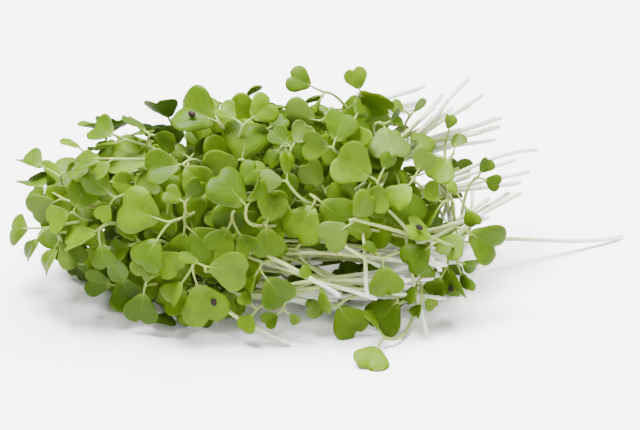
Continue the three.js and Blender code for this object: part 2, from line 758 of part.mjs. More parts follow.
// A seed leaf's blade, as a grid of cells on both faces, split alike. Returns its base ring.
function addBlade(body, leaf) {
  const cells = leaf.width >= LARGE_LEAF_WIDTH ? LARGE_LEAF_CELLS : SMALL_LEAF_CELLS;
  const upper = [];
  const lower = [];
  for (let k = 0; k <= cells; k += 1) {
    const corners = (lift) => [-1, 0, 1].map((t) => body.addPoint(bladeGridPoint(leaf, k / cells, t, lift)));
    upper.push(corners(BLADE_THICKNESS / 2));
    lower.push(corners(-BLADE_THICKNESS / 2));
  }
  for (let k = 0; k < cells; k += 1) {
    const [near, far, nearLow, farLow] = [upper[k], upper[k + 1], lower[k], lower[k + 1]];
    for (const corners of bladeCell(near, far)) {
      body.addFace(corners);
    }
    for (const corners of bladeCell(nearLow, farLow)) {
      body.addFace(corners.reverse());
    }
    body.addFace([near[2], far[2], farLow[2], nearLow[2]]);
    body.addFace([nearLow[0], farLow[0], far[0], near[0]]);
  }
  for (const side of [0, 1]) {
    body.addFace([lower[cells][side], lower[cells][side + 1], upper[cells][side + 1], upper[cells][side]]);
  }
  return {
    corners: [lower[0][0], lower[0][2], upper[0][2], upper[0][0]],
    lowerRib: lower[0][1],
    upperRib: upper[0][1],
  };
}

// A leaf stalk, from one slope of the stem's tip to a blade's base.
function addLeafStalk(body, slope, base) {
  const pointAt = (index) => new THREE.Vector3().fromArray(body.points, index * 3);
  let bestTurn = 0;
  let bestTwist = Infinity;
  for (let turn = 0; turn < 4; turn += 1) {
    const gaps = base.corners.map((corner, k) => pointAt(corner).distanceToSquared(pointAt(slope[(k + turn) % 4])));
    const twist = gaps.reduce((sum, gap) => sum + gap, 0);
    if (twist < bestTwist) {
      bestTwist = twist;
      bestTurn = turn;
    }
  }
  const start = [0, 1, 2, 3].map((k) => slope[(k + bestTurn) % 4]);
  const end = base.corners;
  body.addFace([base.lowerRib, end[0], start[0], start[1], end[1]]);
  body.addFace([start[1], start[2], end[2], end[1]]);
  body.addFace([base.upperRib, end[2], start[2], start[3], end[3]]);
  body.addFace([start[3], start[0], end[0], end[3]]);
}

// The green part of a seedling as one closed body. The stem's square tip ends in a small
// roof, and a leaf stalk grows from each of the roof's two slopes.
function greenSeedling({ head, stem }) {
  const body = new Body();
  const { lastRing, tip, side } = addStemRings(body, stem.green, head);
  const across = tip.clone().cross(side);
  const ridge = [1, -1].map((sign) => {
    const point = head.fork.clone().addScaledVector(tip, GREEN_STEM_RADIUS);
    return body.addPoint(point.addScaledVector(across, sign * GREEN_STEM_RADIUS * Math.SQRT1_2));
  });
  const [first, second, third, fourth] = lastRing;
  body.addFace([first, second, ridge[0]]);
  body.addFace([third, fourth, ridge[1]]);
  addLeafStalk(body, [fourth, first, ridge[0], ridge[1]], addBlade(body, head.leaves[0]));
  addLeafStalk(body, [second, third, ridge[1], ridge[0]], addBlade(body, head.leaves[1]));
  return body.toSolid();
}

// Joins solids, keeps what is beyond the crossing on one side, cuts them flat where
// they touch the surface, and drops loose scrap.
function fuse(solids, spray, side) {
  const normal = crossingHeading(spray).multiplyScalar(side);
  const offset = normal.dot(crossingPoint(spray)) + JOINT_GAP / 2;
  const whole = wasm.Manifold.union(solids);
  const joined = whole.trimByPlane(normal.toArray(), offset).trimByPlane(FLOOR_NORMAL, 0).simplify(CLEAN_UP);
  const bodies = joined.decompose();
  bodies.sort((first, second) => second.volume() - first.volume());
  return bodies[0];
}

function paleSolids(spray) {
  return spray.seedlings.map(({ stem }) => rod(stem.pale, PALE_STEM_RADIUS, STEM_SIDES, PALE_STEM_STEPS));
}

// An empty seed hull: a small rounded shell lying on a blade.
function seedHull(leaf, along, across) {
  const clear = BLADE_THICKNESS / 2 + JOINT_GAP + SEED_HULL_LENGTH * 0.35;
  const centre = bladePoint(leaf, along, across, clear);
  const geometry = new THREE.IcosahedronGeometry(SEED_HULL_LENGTH / 2, 1);
  const axes = new THREE.Matrix4().makeBasis(leaf.along, leaf.across, leaf.normal);
  geometry.scale(1, 0.75, 0.6);
  geometry.applyMatrix4(axes);
  geometry.translate(centre.x, centre.y, centre.z);
  return toSolid(geometry);
}

function makeNode(name, solid, colour, roughness) {
  const material = new THREE.MeshStandardMaterial({ color: colour, roughness, metalness: 0 });
  const mesh = new THREE.Mesh(toGeometry(solid), material);
  mesh.name = name;
  mesh.position.copy(ORIGIN).negate();
  return mesh;
}

const heap = layOutHeap();

const greens = new THREE.Group();
for (const spray of heap) {
  greens.add(makeNode(`${spray.name}_leaves`, fuse(spray.seedlings.map(greenSeedling), spray, 1), LEAF_GREEN, 0.5));
  greens.add(makeNode(`${spray.name}_stems`, fuse(paleSolids(spray), spray, -1), STEM_PALE, 0.45));
}
for (const hull of SEED_HULLS) {
  const spray = heap.find((candidate) => candidate.name === hull.spray);
  const leaf = spray.seedlings[hull.head].head.leaves[hull.leaf];
  greens.add(makeNode(hull.name, seedHull(leaf, hull.along, hull.across), HULL_BROWN, 0.6));
}

export default greens;
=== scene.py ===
"""A loose heap of cut mustard seedlings: pale stems, thin leaf stalks and pairs of seed leaves."""
import functools
import math

import bmesh
import bpy
import numpy as np
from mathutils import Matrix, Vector


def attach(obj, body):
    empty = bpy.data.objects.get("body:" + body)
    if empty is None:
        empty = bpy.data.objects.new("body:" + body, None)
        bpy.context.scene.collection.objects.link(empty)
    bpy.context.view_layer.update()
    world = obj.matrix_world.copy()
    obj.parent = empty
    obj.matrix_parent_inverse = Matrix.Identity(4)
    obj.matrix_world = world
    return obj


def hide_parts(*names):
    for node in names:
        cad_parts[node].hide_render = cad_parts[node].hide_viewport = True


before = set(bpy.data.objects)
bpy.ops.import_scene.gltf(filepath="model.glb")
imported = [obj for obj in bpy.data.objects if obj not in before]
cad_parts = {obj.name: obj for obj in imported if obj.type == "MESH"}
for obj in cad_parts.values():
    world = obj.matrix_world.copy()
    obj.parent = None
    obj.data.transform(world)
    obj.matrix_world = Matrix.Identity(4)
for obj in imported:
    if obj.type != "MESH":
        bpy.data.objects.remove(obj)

bl_info = {
    "name": "Heap of mustard greens",
    "version": (1, 0, 0),
    "blender": (4, 5, 0),
    "location": "View3D > Sidebar > Greens",
    "description": "Models a heap of cut mustard seedlings round its packed solids",
    "category": "Add Mesh",
}

MM = 0.001

# The heap as it is laid out, in millimetres. X runs along it, Y away from the front, Z up.
HEAP_LENGTH = 152
HEAP_DEPTH = 68
HEAP_HEIGHT = 60
HEAP_MIDDLE_X = -18
HEAP_END_POWER = 3
SMALLEST_FULLNESS = 0.05
ORIGIN = np.array([0.1, -2.5, 0])
VIEW_ELEVATION = math.radians(30)
TOWARD_VIEWER = np.array([0, -math.cos(VIEW_ELEVATION), math.sin(VIEW_ELEVATION)])
UPWARD = np.array([0.0, 0.0, 1.0])

PALE_STEM_RADIUS = 0.9
CROSSING_OVERLAP = 1

# The outline of a seed leaf, as a radius round its middle, for a leaf 1 wide: its mean, waves
# that repeat once, twice and three times round it, and the notch at its end.
OUTLINE_MEAN = 0.456
OUTLINE_WAVES = (0.073, -0.015, -0.055)
NOTCH_DEPTH = 0.12
NOTCH_WIDTH = 0.2
THETA_LOBE_TIP = 0.36
THETA_BASE = 3.0
BASE_REACH = 0.423
NOTCH_REACH = 0.339

# Sprays: a name, the crossing and the cut end, and heads. A head is its fork and two seed
# leaves, across and up in the front view, each leaf with its width and turn in degrees.
ON_SURFACE = 40
SPRAYS = [
    ("left_end", (-50, 8, 20), (-8, 14, 14), [
        {"fork": (-82.5, 17), "leaves": [(-92, 17, 10, 15), (-87, 11, 8.5, 60)]},
        {"fork": (-78, 33), "leaves": [(-87, 37, 9, 50), (-74, 34.5, 5, 20)]},
        {"fork": (-77, 26), "leaves": [(-86, 31, 10, 50), (-83, 23, 10.5, 160)]},
        {"fork": (-73.5, 22), "leaves": [(-78, 20, 9, 20), (-71, 27, 10, 10)]},
    ]),
    ("left_top", (-38, 14, 34), (4, 22, 24), [
        {"fork": (-61, 26), "leaves": [(-66, 30.5, 10.5, -30), (-64, 21.5, 6, 10)]},
        {"fork": (-58, 43.5), "leaves": [(-65, 46.5, 9.5, 20), (-64, 41, 7, 80)]},
        {"fork": (-61, 37), "leaves": [(-69, 37, 10, 65), (-64.5, 34, 7, 30)]},
        {"fork": (-52, 36), "leaves": [(-57.5, 38, 14, 10), (-52, 30.5, 9, 150)]},
        {"fork": (-50.5, 45), "leaves": [(-55, 48, 9, 75), (-46, 43.5, 8, 40)]},
    ]),
    ("lower_left", (-45, -4, 10), (-2, -10, 9), [
        {"fork": (-77.5, 14), "leaves": [(-81, 8, 10, 65), (-74.5, 9.5, 10, 150)]},
        {"fork": (-66, 16.5), "leaves": [(-71, 14, 12, 60), (-64.5, 8.5, 8, 20)]},
        {"fork": (-69, 8), "inset": ON_SURFACE, "leaves": [(-73, 3, 9, 200), (-66, 4, 6, 20)]},
        {"fork": (-54, 13), "inset": 2, "leaves": [(-56.5, 17, 9, 40), (-59.5, 11, 6.5, 0)]},
    ]),
    ("front_left", (-27, -17, 9), (18, -20, 4), [
        {"fork": (-56, 3), "inset": ON_SURFACE, "leaves": [(-62, -0.5, 10, 200), (-59.5, 6.5, 7, 30)]},
        {"fork": (-49, 11), "leaves": [(-52, 5.5, 8, 20), (-44.5, 7, 9, 10)]},
        {"fork": (-38, 5), "leaves": [(-34.5, -5.5, 14.5, 0), (-43, -2, 8.5, 40)]},
        {"fork": (-45, -6), "inset": ON_SURFACE, "leaves": [(-54, -5, 11, 70), (-47, -11, 8, 190)]},
    ]),
    ("middle_left", (-22, 4, 28), (22, 8, 17), [
        {"fork": (-40.5, 36), "leaves": [(-37, 32, 10, 0), (-46.5, 35, 11.5, 20)]},
        {"fork": (-40, 24.5), "leaves": [(-43.5, 26.5, 6.5, 10), (-37, 28, 8, 50)]},
        {"fork": (-44.5, 19), "leaves": [(-53, 22, 14.5, -10), (-50.5, 10, 11, 10)]},
        {"fork": (-40, 18), "leaves": [(-41, 12.5, 7.5, 0), (-34.5, 13, 12, 10)]},
    ]),
    ("top_left", (-2, 10, 36), (34, 30, 30), [
        {"fork": (-38.5, 38), "inset": 3, "leaves": [(-41.5, 40, 5, 200), (-35.5, 41.5, 6.5, 30)]},
        {"fork": (-30, 48.5), "leaves": [(-36.5, 51.5, 15, 10), (-32.5, 53, 6, 30)]},
        {"fork": (-23, 47.5), "leaves": [(-28, 51, 7.5, 30), (-17.5, 52, 10, 10)]},
        {"fork": (-23, 37.5), "leaves": [(-22, 43, 14.5, 0), (-29, 35.5, 12, -20)]},
    ]),
    ("centre_left", (-12, -9, 17), (30, -8, 14), [
        {"fork": (-26, 19.5), "leaves": [(-29, 13.5, 9.5, 10), (-22, 12.5, 7.5, -10)]},
        {"fork": (-34, 6.5), "leaves": [(-27.5, 5.5, 13, 30), (-39, 8.5, 7, 60)]},
    ]),
    ("centre", (14, 2, 26), (64, 18, 31), [
        {"fork": (-16, 18), "leaves": [(-15.5, 13, 10, 0), (-14.5, 23, 9.5, 10)]},
        {"fork": (-1, 26), "leaves": [(-5, 19, 13, 20), (4, 22, 11, 10)]},
        {"fork": (-10, 31), "leaves": [(-9.5, 36, 8, 60), (-14.5, 31, 7.5, 200)]},
        {"fork": (-22, 23), "leaves": [(-26.5, 28, 14, 30), (-19, 27, 9, 60)]},
    ]),
    ("centre_low", (2, -20, 12), (27, -17, 13), [
        {"fork": (-18, 5), "leaves": [(-13, -1.5, 11, 10), (-20.5, 1, 6, 60)]},
        {"fork": (-0.5, 1), "leaves": [(0.5, -4.5, 9, 70), (-4, 4, 5, 40)]},
        {"fork": (-11, -7), "leaves": [(-14.5, -10, 5.5, 10), (-7.5, -9.5, 4.5, 50)]},
        {"fork": (-19, -7), "leaves": [(-21.5, -11, 6.5, 20), (-22, -4, 5, 30)]},
    ]),
    ("top", (20, 12, 38), (54, 27, 40), [
        {"fork": (-8.5, 41), "leaves": [(-12, 44, 7, 20), (-5.5, 45, 7.5, 170)]},
        {"fork": (0.5, 49), "inset": 5, "leaves": [(-6, 50.5, 11, 160), (3, 47, 7, 70)]},
        {"fork": (1, 58), "leaves": [(-6, 61.5, 8.5, 10), (-0.5, 54, 5, 75)]},
        {"fork": (12.5, 57), "leaves": [(11, 62, 7.5, 20), (16, 54.5, 13, 60)]},
        {"fork": (19, 48), "leaves": [(20.5, 42.5, 13, 160), (22.5, 50, 6, 20)]},
    ]),
    ("top_right", (26, 6, 46), (44, 32, 49), [
        {"fork": (4, 41), "leaves": [(6, 47, 11, 10), (-1, 41.5, 9, -10)]},
        {"fork": (9.5, 48.5), "leaves": [(11.5, 44, 8.5, 10), (12, 52.5, 6.5, 30)]},
        {"fork": (17, 31), "leaves": [(10, 35.5, 13.5, 0), (20, 37, 6, 30)]},
        {"fork": (1.5, 28.5), "inset": 8, "leaves": [(-2, 33, 9, 200), (5.5, 32.5, 10, 30)]},
    ]),
    ("centre_right", (36, -12, 24), (60, 12, 25), [
        {"fork": (9.5, 18.5), "leaves": [(4.5, 15, 10, 190), (13, 22.5, 10, 40)]},
        {"fork": (18.5, 8), "leaves": [(19.5, 1.5, 10.5, 0), (15, 11, 6, 60)]},
    ]),
    ("front", (30, -12, 4.5), (46, 6, 3), [
        {"fork": (5, -9.5), "leaves": [(8, -14, 11.5, 10), (-1.5, -10.5, 7, 200)]},
        {"fork": (18.5, -16.5), "leaves": [(15.5, -21.5, 11, 20), (15.5, -11.5, 7.5, 70)]},
        {"fork": (24, -7), "leaves": [(20, -12, 12.5, 20), (20.5, -4.5, 5, 60)]},
    ]),
    ("front_right", (28, 8, 8), (22, 36, 3), [
        {"fork": (29.5, 1.5), "inset": 3, "leaves": [(27, -2, 7.5, 65), (32, 3.5, 5, 30)]},
        {"fork": (30.5, -3.5), "leaves": [(33, -5.5, 4.5, 20), (29.5, -7.5, 5, 50)]},
        {"fork": (38, 5.5), "inset": 5, "leaves": [(39.5, 0.5, 12, 60), (35, -0.5, 7, 20)]},
        {"fork": (41, 7), "leaves": [(45, 5.5, 6, 30), (43, 0.5, 7, 60)]},
    ]),
    ("right_low", (42, 0, 15), (47, 26, 13), [
        {"fork": (43, 16.5), "leaves": [(49.5, 13, 13, 0), (39.5, 12, 9.5, 30)]},
        {"fork": (35, 13.5), "inset": -2, "cut": (95, 27.5, 0.5),
         "leaves": [(29.5, 16.5, 10, 50), (29, 9, 10, 10)]},
        {"fork": (36.5, 25), "leaves": [(33, 27.5, 7, 30), (33, 20.5, 6.5, 70)]},
        {"fork": (43, 24), "leaves": [(40, 29, 5, 50), (45, 20, 6.5, 40)]},
        {"fork": (48, 32.5), "leaves": [(50, 36, 5.5, 30), (52.5, 31, 5.5, 10)]},
    ]),
    ("right_top", (38, -2, 32), (40, 20, 2), [
        {"fork": (27.5, 51), "leaves": [(30, 54, 6, 60), (23.5, 53.5, 5, 40)]},
        {"fork": (38.5, 44.5), "leaves": [(32, 43.5, 9, 40), (39.5, 49, 5, 40)]},
        {"fork": (40, 39.5), "leaves": [(41.5, 43.5, 5.5, 150), (36.5, 35.5, 10, 10)]},
        {"fork": (28, 32), "leaves": [(30.5, 37, 8, 200), (24, 27, 9.5, 30)]},
    ]),
]

# Sprays on the back of the heap, with heads drawn at random over one stretch of it.
BACK_SPRAYS = [
    ("back_left", (-24, 18, 11), (16, 25, 3), (-72, -40), 5),
    ("back_middle", (-8, 20, 44), (30, 40, 42), (-36, 4), 5),
    ("back_right", (2, 35, 18), (-36, 35, 5), (8, 44), 5),
]
BACK_LEAF_WIDTH = (7, 12)
BACK_HEAD_RISE = (15, 70)
BACK_LEAF_RISE = (0, 0.6)
BACK_STALK_START = 0.15
BACK_STALK = (0.5, 2)

# Empty seed hulls: name, spray, head, leaf, and place along and across the blade.
SEED_HULLS = [
    ("seed_hull_1", "top_left", 1, 0, 0.05, 0.12),
    ("seed_hull_2", "front_left", 2, 0, 0.0, 0.2),
    ("seed_hull_3", "right_low", 1, 0, 0.1, 0.1),
    ("seed_hull_4", "front_right", 2, 0, 0.1, 0.0),
    ("seed_hull_5", "top", 4, 0, -0.1, 0.1),
]
HULL_SIZE = 2.4
HULL_SHAPE = np.array([1, 0.75, 0.6])
HULL_GAP = 0.3
HULL_RISE = 0.35
HULL_LEAF_THICKNESS = 0.8
HULL_DETAIL = 4
SEAM_WIDTH = 0.12
SEAM_START = 0.3
SEAM_DEPTH = 0.16
WRINKLE_DEPTH = 0.02

# How far the blades may cup, fold and arch, and how deep a full share of each goes.
CUP_RANGE = (-0.25, 0.45)
FOLD_RANGE = (0, 0.35)
ARCH_RANGE = (-0.15, 0.45)
CUP_DEPTH = 2
FOLD_DEPTH = 0.5
ARCH_DEPTH = 0.6

# Clearance while the heap is laid out: half-distances kept round each sample point.
BLADE_MARGIN = 0.85
STALK_MARGIN = 0.8
STEM_MARGIN = 1.15
LANE_MARGIN = 2.2
LANE_LEAD = 4

# Steps between sample points, and the lowest places that leaves, heads and stems may take.
STEM_SAMPLE_STEP = 1.5
STEM_CURVE_SLACK = 1.1
BLADE_SAMPLE_STEPS = 5
LOWEST_LEAF_POINT = 0.15
LOWEST_HEAD_PLACE = 1.2
LOWEST_STEM_CENTRE = 0.5

# Later trials move a head or a stem further from where it was asked to be.
HEAD_TRIALS = 40
STEM_TRIALS = 120
STEM_ROUNDS = 4
HEAD_DEPTH_STEP = 0.5
HEAD_SHIFT_STEP = 0.05
HEAD_TURN_STEP = 1.2
STEM_SHIFT_STEP = 0.1

# The share of a seed leaf's depth before its fork that is taken away, so that its face shows.
LEAF_LEVELLING = 0.5

# How stems are cut: spread round the spray's own cut end, staggered along it, and turned.
CUT_SPREAD = 4
CUT_WIDENING = 0.5
CUT_STAGGER = 5
CUT_TURN = 0.1

# How a stem curves, as shares of its span, and how its tip leans with its seed leaves.
STEM_LEAVING = 0.35
STEM_ARRIVING = 0.3
STEM_START_WANDER = 0.5
TIP_ALONG = 0.6
TIP_RISE = 0.3

# Seeds: a run of numbers for each spray, one for each round, and others for the looks.
WORD = 0xFFFFFFFF
RANDOM_STEP = 0x6D2B79F5
SEEDS_PER_SPRAY = 100
SEEDS_PER_ROUND = 10000
SPRAY_LOOK_SEED = 5000
FILLING_LOOK_SEED = 6000
FILLING_SEED = 7001


def random_source(seed):
    """A small repeatable source of random numbers."""
    state = seed & WORD

    def draw(low=0.0, high=1.0):
        nonlocal state
        state = (state + RANDOM_STEP) & WORD
        mixed = ((state ^ (state >> 15)) * (state | 1)) & WORD
        mixed ^= (mixed + ((mixed ^ (mixed >> 7)) * (mixed | 61))) & WORD
        return low + (high - low) * ((mixed ^ (mixed >> 14)) & WORD) / (WORD + 1)

    return draw


def unit(vector):
    return vector / np.linalg.norm(vector)


def turned(vector, axis, angle):
    """The vector turned about a unit axis."""
    cosine, sine = math.cos(angle), math.sin(angle)
    return vector * cosine + np.cross(axis, vector) * sine + axis * np.dot(axis, vector) * (1 - cosine)


class Leaf:
    """One seed leaf: its middle, directions, width and curves."""

    def __init__(self, middle, fork, facing, width, random):
        self.middle = middle
        self.along = unit(middle - fork)
        self.normal = unit(facing - self.along * np.dot(facing, self.along))
        self.across = np.cross(self.normal, self.along)
        self.width = width
        self.cup = random(*CUP_RANGE)
        self.fold = random(*FOLD_RANGE)
        self.arch = random(*ARCH_RANGE)

    def points(self, x, y, lift=0.0):
        """Points of the blade: x along the rib and y across it, as shares of the width."""
        x, y = np.asarray(x, float), np.asarray(y, float)
        from_base = x + BASE_REACH
        rise = self.cup * CUP_DEPTH * y * y + self.fold * FOLD_DEPTH * np.abs(y)
        rise = rise - self.arch * ARCH_DEPTH * from_base ** 2
        slope_x = -self.arch * 2 * ARCH_DEPTH * from_base
        slope_y = self.cup * 2 * CUP_DEPTH * y + self.fold * FOLD_DEPTH * np.sign(y)
        upward = self.normal - slope_x[..., None] * self.along - slope_y[..., None] * self.across
        upward /= np.linalg.norm(upward, axis=-1, keepdims=True)
        flat = x[..., None] * self.along + y[..., None] * self.across + rise[..., None] * self.normal
        return self.middle + self.width * flat + np.asarray(lift)[..., None] * upward

    def base(self):
        return self.points(-BASE_REACH, 0.0)


class Head:
    """A fork and its two seed leaves."""

    def __init__(self, fork, leaves):
        self.fork = fork
        self.leaves = leaves

    def samples(self):
        """Sample points of the head, and the room kept round each."""
        steps = np.arange(BLADE_SAMPLE_STEPS + 1) / BLADE_SAMPLE_STEPS
        s, t = np.meshgrid(steps, 2 * steps - 1, indexing="ij")
        points, margins = [], []
        for leaf in self.leaves:
            blade = leaf.points(*blade_place(s.ravel(), t.ravel()))
            base = leaf.base()
            count = max(1, math.ceil(np.linalg.norm(base - self.fork) / STEM_SAMPLE_STEP))
            stalk = self.fork + (base - self.fork) * (np.arange(count) / count)[:, None]
            points += [blade, stalk]
            margins += [np.full(len(blade), BLADE_MARGIN), np.full(len(stalk), STALK_MARGIN)]
        return np.concatenate(points), np.concatenate(margins)

    def lift_to_floor(self):
        lift = max(0.0, LOWEST_LEAF_POINT - self.samples()[0][:, 2].min())
        self.fork = self.fork + UPWARD * lift
        for leaf in self.leaves:
            leaf.middle = leaf.middle + UPWARD * lift


def outline_radius(theta):
    once, twice, thrice = OUTLINE_WAVES
    rounds = OUTLINE_MEAN + once * np.cos(theta) + twice * np.cos(2 * theta) + thrice * np.cos(3 * theta)
    return rounds - NOTCH_DEPTH * np.exp(-((theta / NOTCH_WIDTH) ** 2))


def blade_place(s, t):
    """Place on a blade: s runs from the base to the notched end, t from margin to margin."""
    side = np.abs(t)
    theta = THETA_LOBE_TIP + (THETA_BASE - THETA_LOBE_TIP) * (1 - s)
    radius = outline_radius(theta)
    rib = -BASE_REACH + s * (BASE_REACH + NOTCH_REACH)
    return rib * (1 - side) + radius * np.cos(theta) * side, radius * np.sin(theta) * t


def fullness_at(across):
    """The heap's size at one place along it, as a share of its full depth and height."""
    share = abs(across - HEAP_MIDDLE_X) / (HEAP_LENGTH / 2)
    return math.sqrt(max(1 - share ** HEAP_END_POWER, SMALLEST_FULLNESS))


def front_point(across, up, inset):
    """The point of the front view on the heap's skin, or on the surface in front of it."""
    sine, cosine = math.sin(VIEW_ELEVATION), math.cos(VIEW_ELEVATION)
    depth = fullness_at(across) * HEAP_DEPTH / 2
    height = fullness_at(across) * HEAP_HEIGHT
    a = 1 / depth ** 2 + (sine / cosine) ** 2 / height ** 2
    b = -2 * up * sine / (cosine * height) ** 2
    c = (up / (cosine * height)) ** 2 - 1
    root = math.sqrt(max(b * b - 4 * a * c, 0))
    y = (-b - root) / (2 * a) + inset * cosine
    z = (up - y * sine) / cosine
    if z < LOWEST_HEAD_PLACE:
        z = LOWEST_HEAD_PLACE
        y = (up - z * cosine) / sine
    return np.array([across, y, z])


def front_head(wanted, trial, random):
    """A head asked for in the front view."""
    swing = 1 if trial % 2 == 0 else -1
    inset = wanted.get("inset", 0) + swing * trial * HEAD_DEPTH_STEP
    shift = trial * HEAD_SHIFT_STEP
    shift_across, shift_up = random(-shift, shift), random(-shift, shift)
    fork = front_point(wanted["fork"][0] + shift_across, wanted["fork"][1] + shift_up, inset)
    leaves = []
    for across, up, width, turn in wanted["leaves"]:
        place = (across + shift_across, up + shift_up)
        ahead = np.dot(front_point(*place, inset) - fork, TOWARD_VIEWER)
        middle = front_point(*place, inset + ahead * LEAF_LEVELLING)
        along = unit(middle - fork)
        facing = unit(TOWARD_VIEWER - along * np.dot(TOWARD_VIEWER, along))
        spin = math.radians(turn + random(-HEAD_TURN_STEP, HEAD_TURN_STEP) * trial)
        leaves.append(Leaf(middle, fork, turned(facing, along, spin), width, random))
    return Head(fork, leaves)


def back_head(reach_x, random):
    """A head drawn at random on the back of the heap."""
    x = random(*reach_x)
    rise = math.radians(random(*BACK_HEAD_RISE))
    fullness = fullness_at(x)
    outward = np.array([0, math.cos(rise), math.sin(rise)])
    fork = np.array([x, outward[1] * fullness * HEAP_DEPTH / 2, outward[2] * fullness * HEAP_HEIGHT])
    spin = random(0, math.pi)
    sideways = turned(np.array([1.0, 0.0, 0.0]), outward, spin)
    leaves = []
    for side in (1, -1):
        width = random(*BACK_LEAF_WIDTH)
        reach = (BASE_REACH + BACK_STALK_START) * width + random(*BACK_STALK)
        direction = unit(sideways * side + outward * random(*BACK_LEAF_RISE))
        leaves.append(Leaf(fork + direction * reach, fork, outward, width, random))
    return Head(fork, leaves)


def bezier(corners, shares):
    """Points of a cubic curve with four corners."""
    k = np.asarray(shares, float)[:, None]
    first, second, third, fourth = corners
    return (first * (1 - k) ** 3 + second * 3 * k * (1 - k) ** 2
            + third * 3 * k * k * (1 - k) + fourth * k ** 3)


def half_stem(start, heading, end, arrival, wander):
    """One half of a stem, from its spray's crossing to its own end."""
    span = np.linalg.norm(start - end)
    leaving = unit(unit(end - start) + heading)
    first = start + leaving * span * STEM_LEAVING + wander() * STEM_START_WANDER
    second = end - arrival * span * STEM_ARRIVING + wander()
    second[2] = max(second[2], PALE_STEM_RADIUS)
    return start, first, second, end


def stem_samples(corners):
    steps = math.ceil(np.linalg.norm(corners[0] - corners[3]) * STEM_CURVE_SLACK / STEM_SAMPLE_STEP)
    return bezier(corners, np.arange(steps + 1) / steps)


class Crowd:
    """The points that are taken, in groups, each group with its owner."""

    def __init__(self):
        self.groups = {}
        self.table = None

    def put(self, owner, points, margins):
        self.groups[owner] = (points, margins)
        self.table = None

    def drop_lanes(self):
        self.groups = {owner: group for owner, group in self.groups.items() if owner[1] != "lane"}
        self.table = None

    def whole(self):
        if self.table is None:
            points = np.concatenate([group[0] for group in self.groups.values()])
            margins = np.concatenate([group[1] for group in self.groups.values()])
            sizes = [len(group[0]) for group in self.groups.values()]
            sprays = np.repeat([owner[0] for owner in self.groups], sizes)
            stems = np.repeat([owner[1] == "stem" for owner in self.groups], sizes)
            indices = np.repeat([owner[2] for owner in self.groups], sizes)
            self.table = points, margins, sprays, stems, indices
        return self.table

    def clashes(self, owner, points, margins):
        """How many points come too near to other sprays, or to a neighbour's seed leaves."""
        if not self.groups:
            return 0
        taken, room, sprays, stems, indices = self.whole()
        reach = margins.max() + LANE_MARGIN
        near = np.all((taken > points.min(0) - reach) & (taken < points.max(0) + reach), axis=1)
        near &= ~((sprays == owner[0]) & (stems | (indices == owner[2])))
        gaps = ((points[:, None] - taken[near][None]) ** 2).sum(-1)
        return int((gaps < (margins[:, None] + room[near][None]) ** 2).any(1).sum())


class Seedling:
    """A head with its stem, in two halves that meet at the spray's crossing."""

    def __init__(self, wanted, head):
        self.wanted = wanted
        self.head = head
        self.green = None
        self.pale = None


class Spray:
    """Seedlings whose stems cross at one point."""

    def __init__(self, number, name, crossing, cut):
        self.number = number
        self.name = name
        self.crossing = np.array(crossing, float)
        self.cut = np.array(cut, float)
        self.heading = unit(self.crossing - self.cut)
        self.seedlings = []

    def cut_end(self, wanted, place, trial, random):
        """Where a seedling's stem was cut."""
        if "cut" in wanted:
            return np.array(wanted["cut"], float)
        angle = 2 * math.pi * (place + random(-CUT_TURN, CUT_TURN))
        spread = CUT_SPREAD + trial * STEM_SHIFT_STEP * random(0, CUT_WIDENING)
        side = unit(np.cross(UPWARD, self.heading))
        upward = np.cross(self.heading, side)
        end = self.cut + side * math.cos(angle) * spread + upward * math.sin(angle) * spread
        end = end + self.heading * random(-CUT_STAGGER, CUT_STAGGER)
        end[2] = max(end[2], LOWEST_STEM_CENTRE)
        return end

    def halves(self, head, cut_end, trial, random):
        """Both halves of a stem, which start a little beyond the crossing."""
        shift = trial * STEM_SHIFT_STEP
        arrival = unit(sum(leaf.along * TIP_ALONG + leaf.normal * TIP_RISE for leaf in head.leaves))

        def wander():
            return np.array([random(-shift, shift), random(-shift, shift), random(-shift, shift)])

        green_start = self.crossing - self.heading * CROSSING_OVERLAP
        pale_start = self.crossing + self.heading * CROSSING_OVERLAP
        green = half_stem(green_start, self.heading, head.fork, arrival, wander)
        toward_cut = unit(cut_end - self.crossing)
        pale = half_stem(pale_start, -self.heading, cut_end, toward_cut, wander)
        return green, pale


def settle_heads(spray, heads, crowd, reach_x=None):
    """Places each head where it is clear, or else where it clashes least."""
    for index, wanted in enumerate(heads):
        owner = (spray.number, "head", index)
        random = random_source(spray.number * SEEDS_PER_SPRAY + index)
        best = None
        for trial in range(HEAD_TRIALS):
            head = back_head(reach_x, random) if reach_x else front_head(wanted, trial, random)
            head.lift_to_floor()
            samples = head.samples()
            clashes = crowd.clashes(owner, *samples)
            if best is None or clashes < best[0]:
                best = (clashes, head, samples)
            if clashes == 0:
                break
        crowd.put(owner, *best[2])
        spray.seedlings.append(Seedling(wanted, best[1]))


def settle_stem(spray, index, round_number, crowd):
    """Routes one stem clear of what is settled."""
    seedling = spray.seedlings[index]
    place = index / len(spray.seedlings)
    owner = (spray.number, "stem", index)
    seed = spray.number * SEEDS_PER_SPRAY + index + (round_number + 1) * SEEDS_PER_ROUND
    random = random_source(seed)
    best = None
    for trial in range(STEM_TRIALS):
        cut_end = spray.cut_end(seedling.wanted, place, trial, random)
        green, pale = spray.halves(seedling.head, cut_end, trial, random)
        points = np.concatenate([stem_samples(green), stem_samples(pale)])
        clashes = crowd.clashes(owner, points, np.full(len(points), STEM_MARGIN))
        if best is None or clashes < best[0]:
            best = (clashes, green, pale, points)
        if clashes == 0:
            break
    seedling.green, seedling.pale = best[1:3]
    crowd.put(owner, best[3], np.full(len(best[3]), STEM_MARGIN))


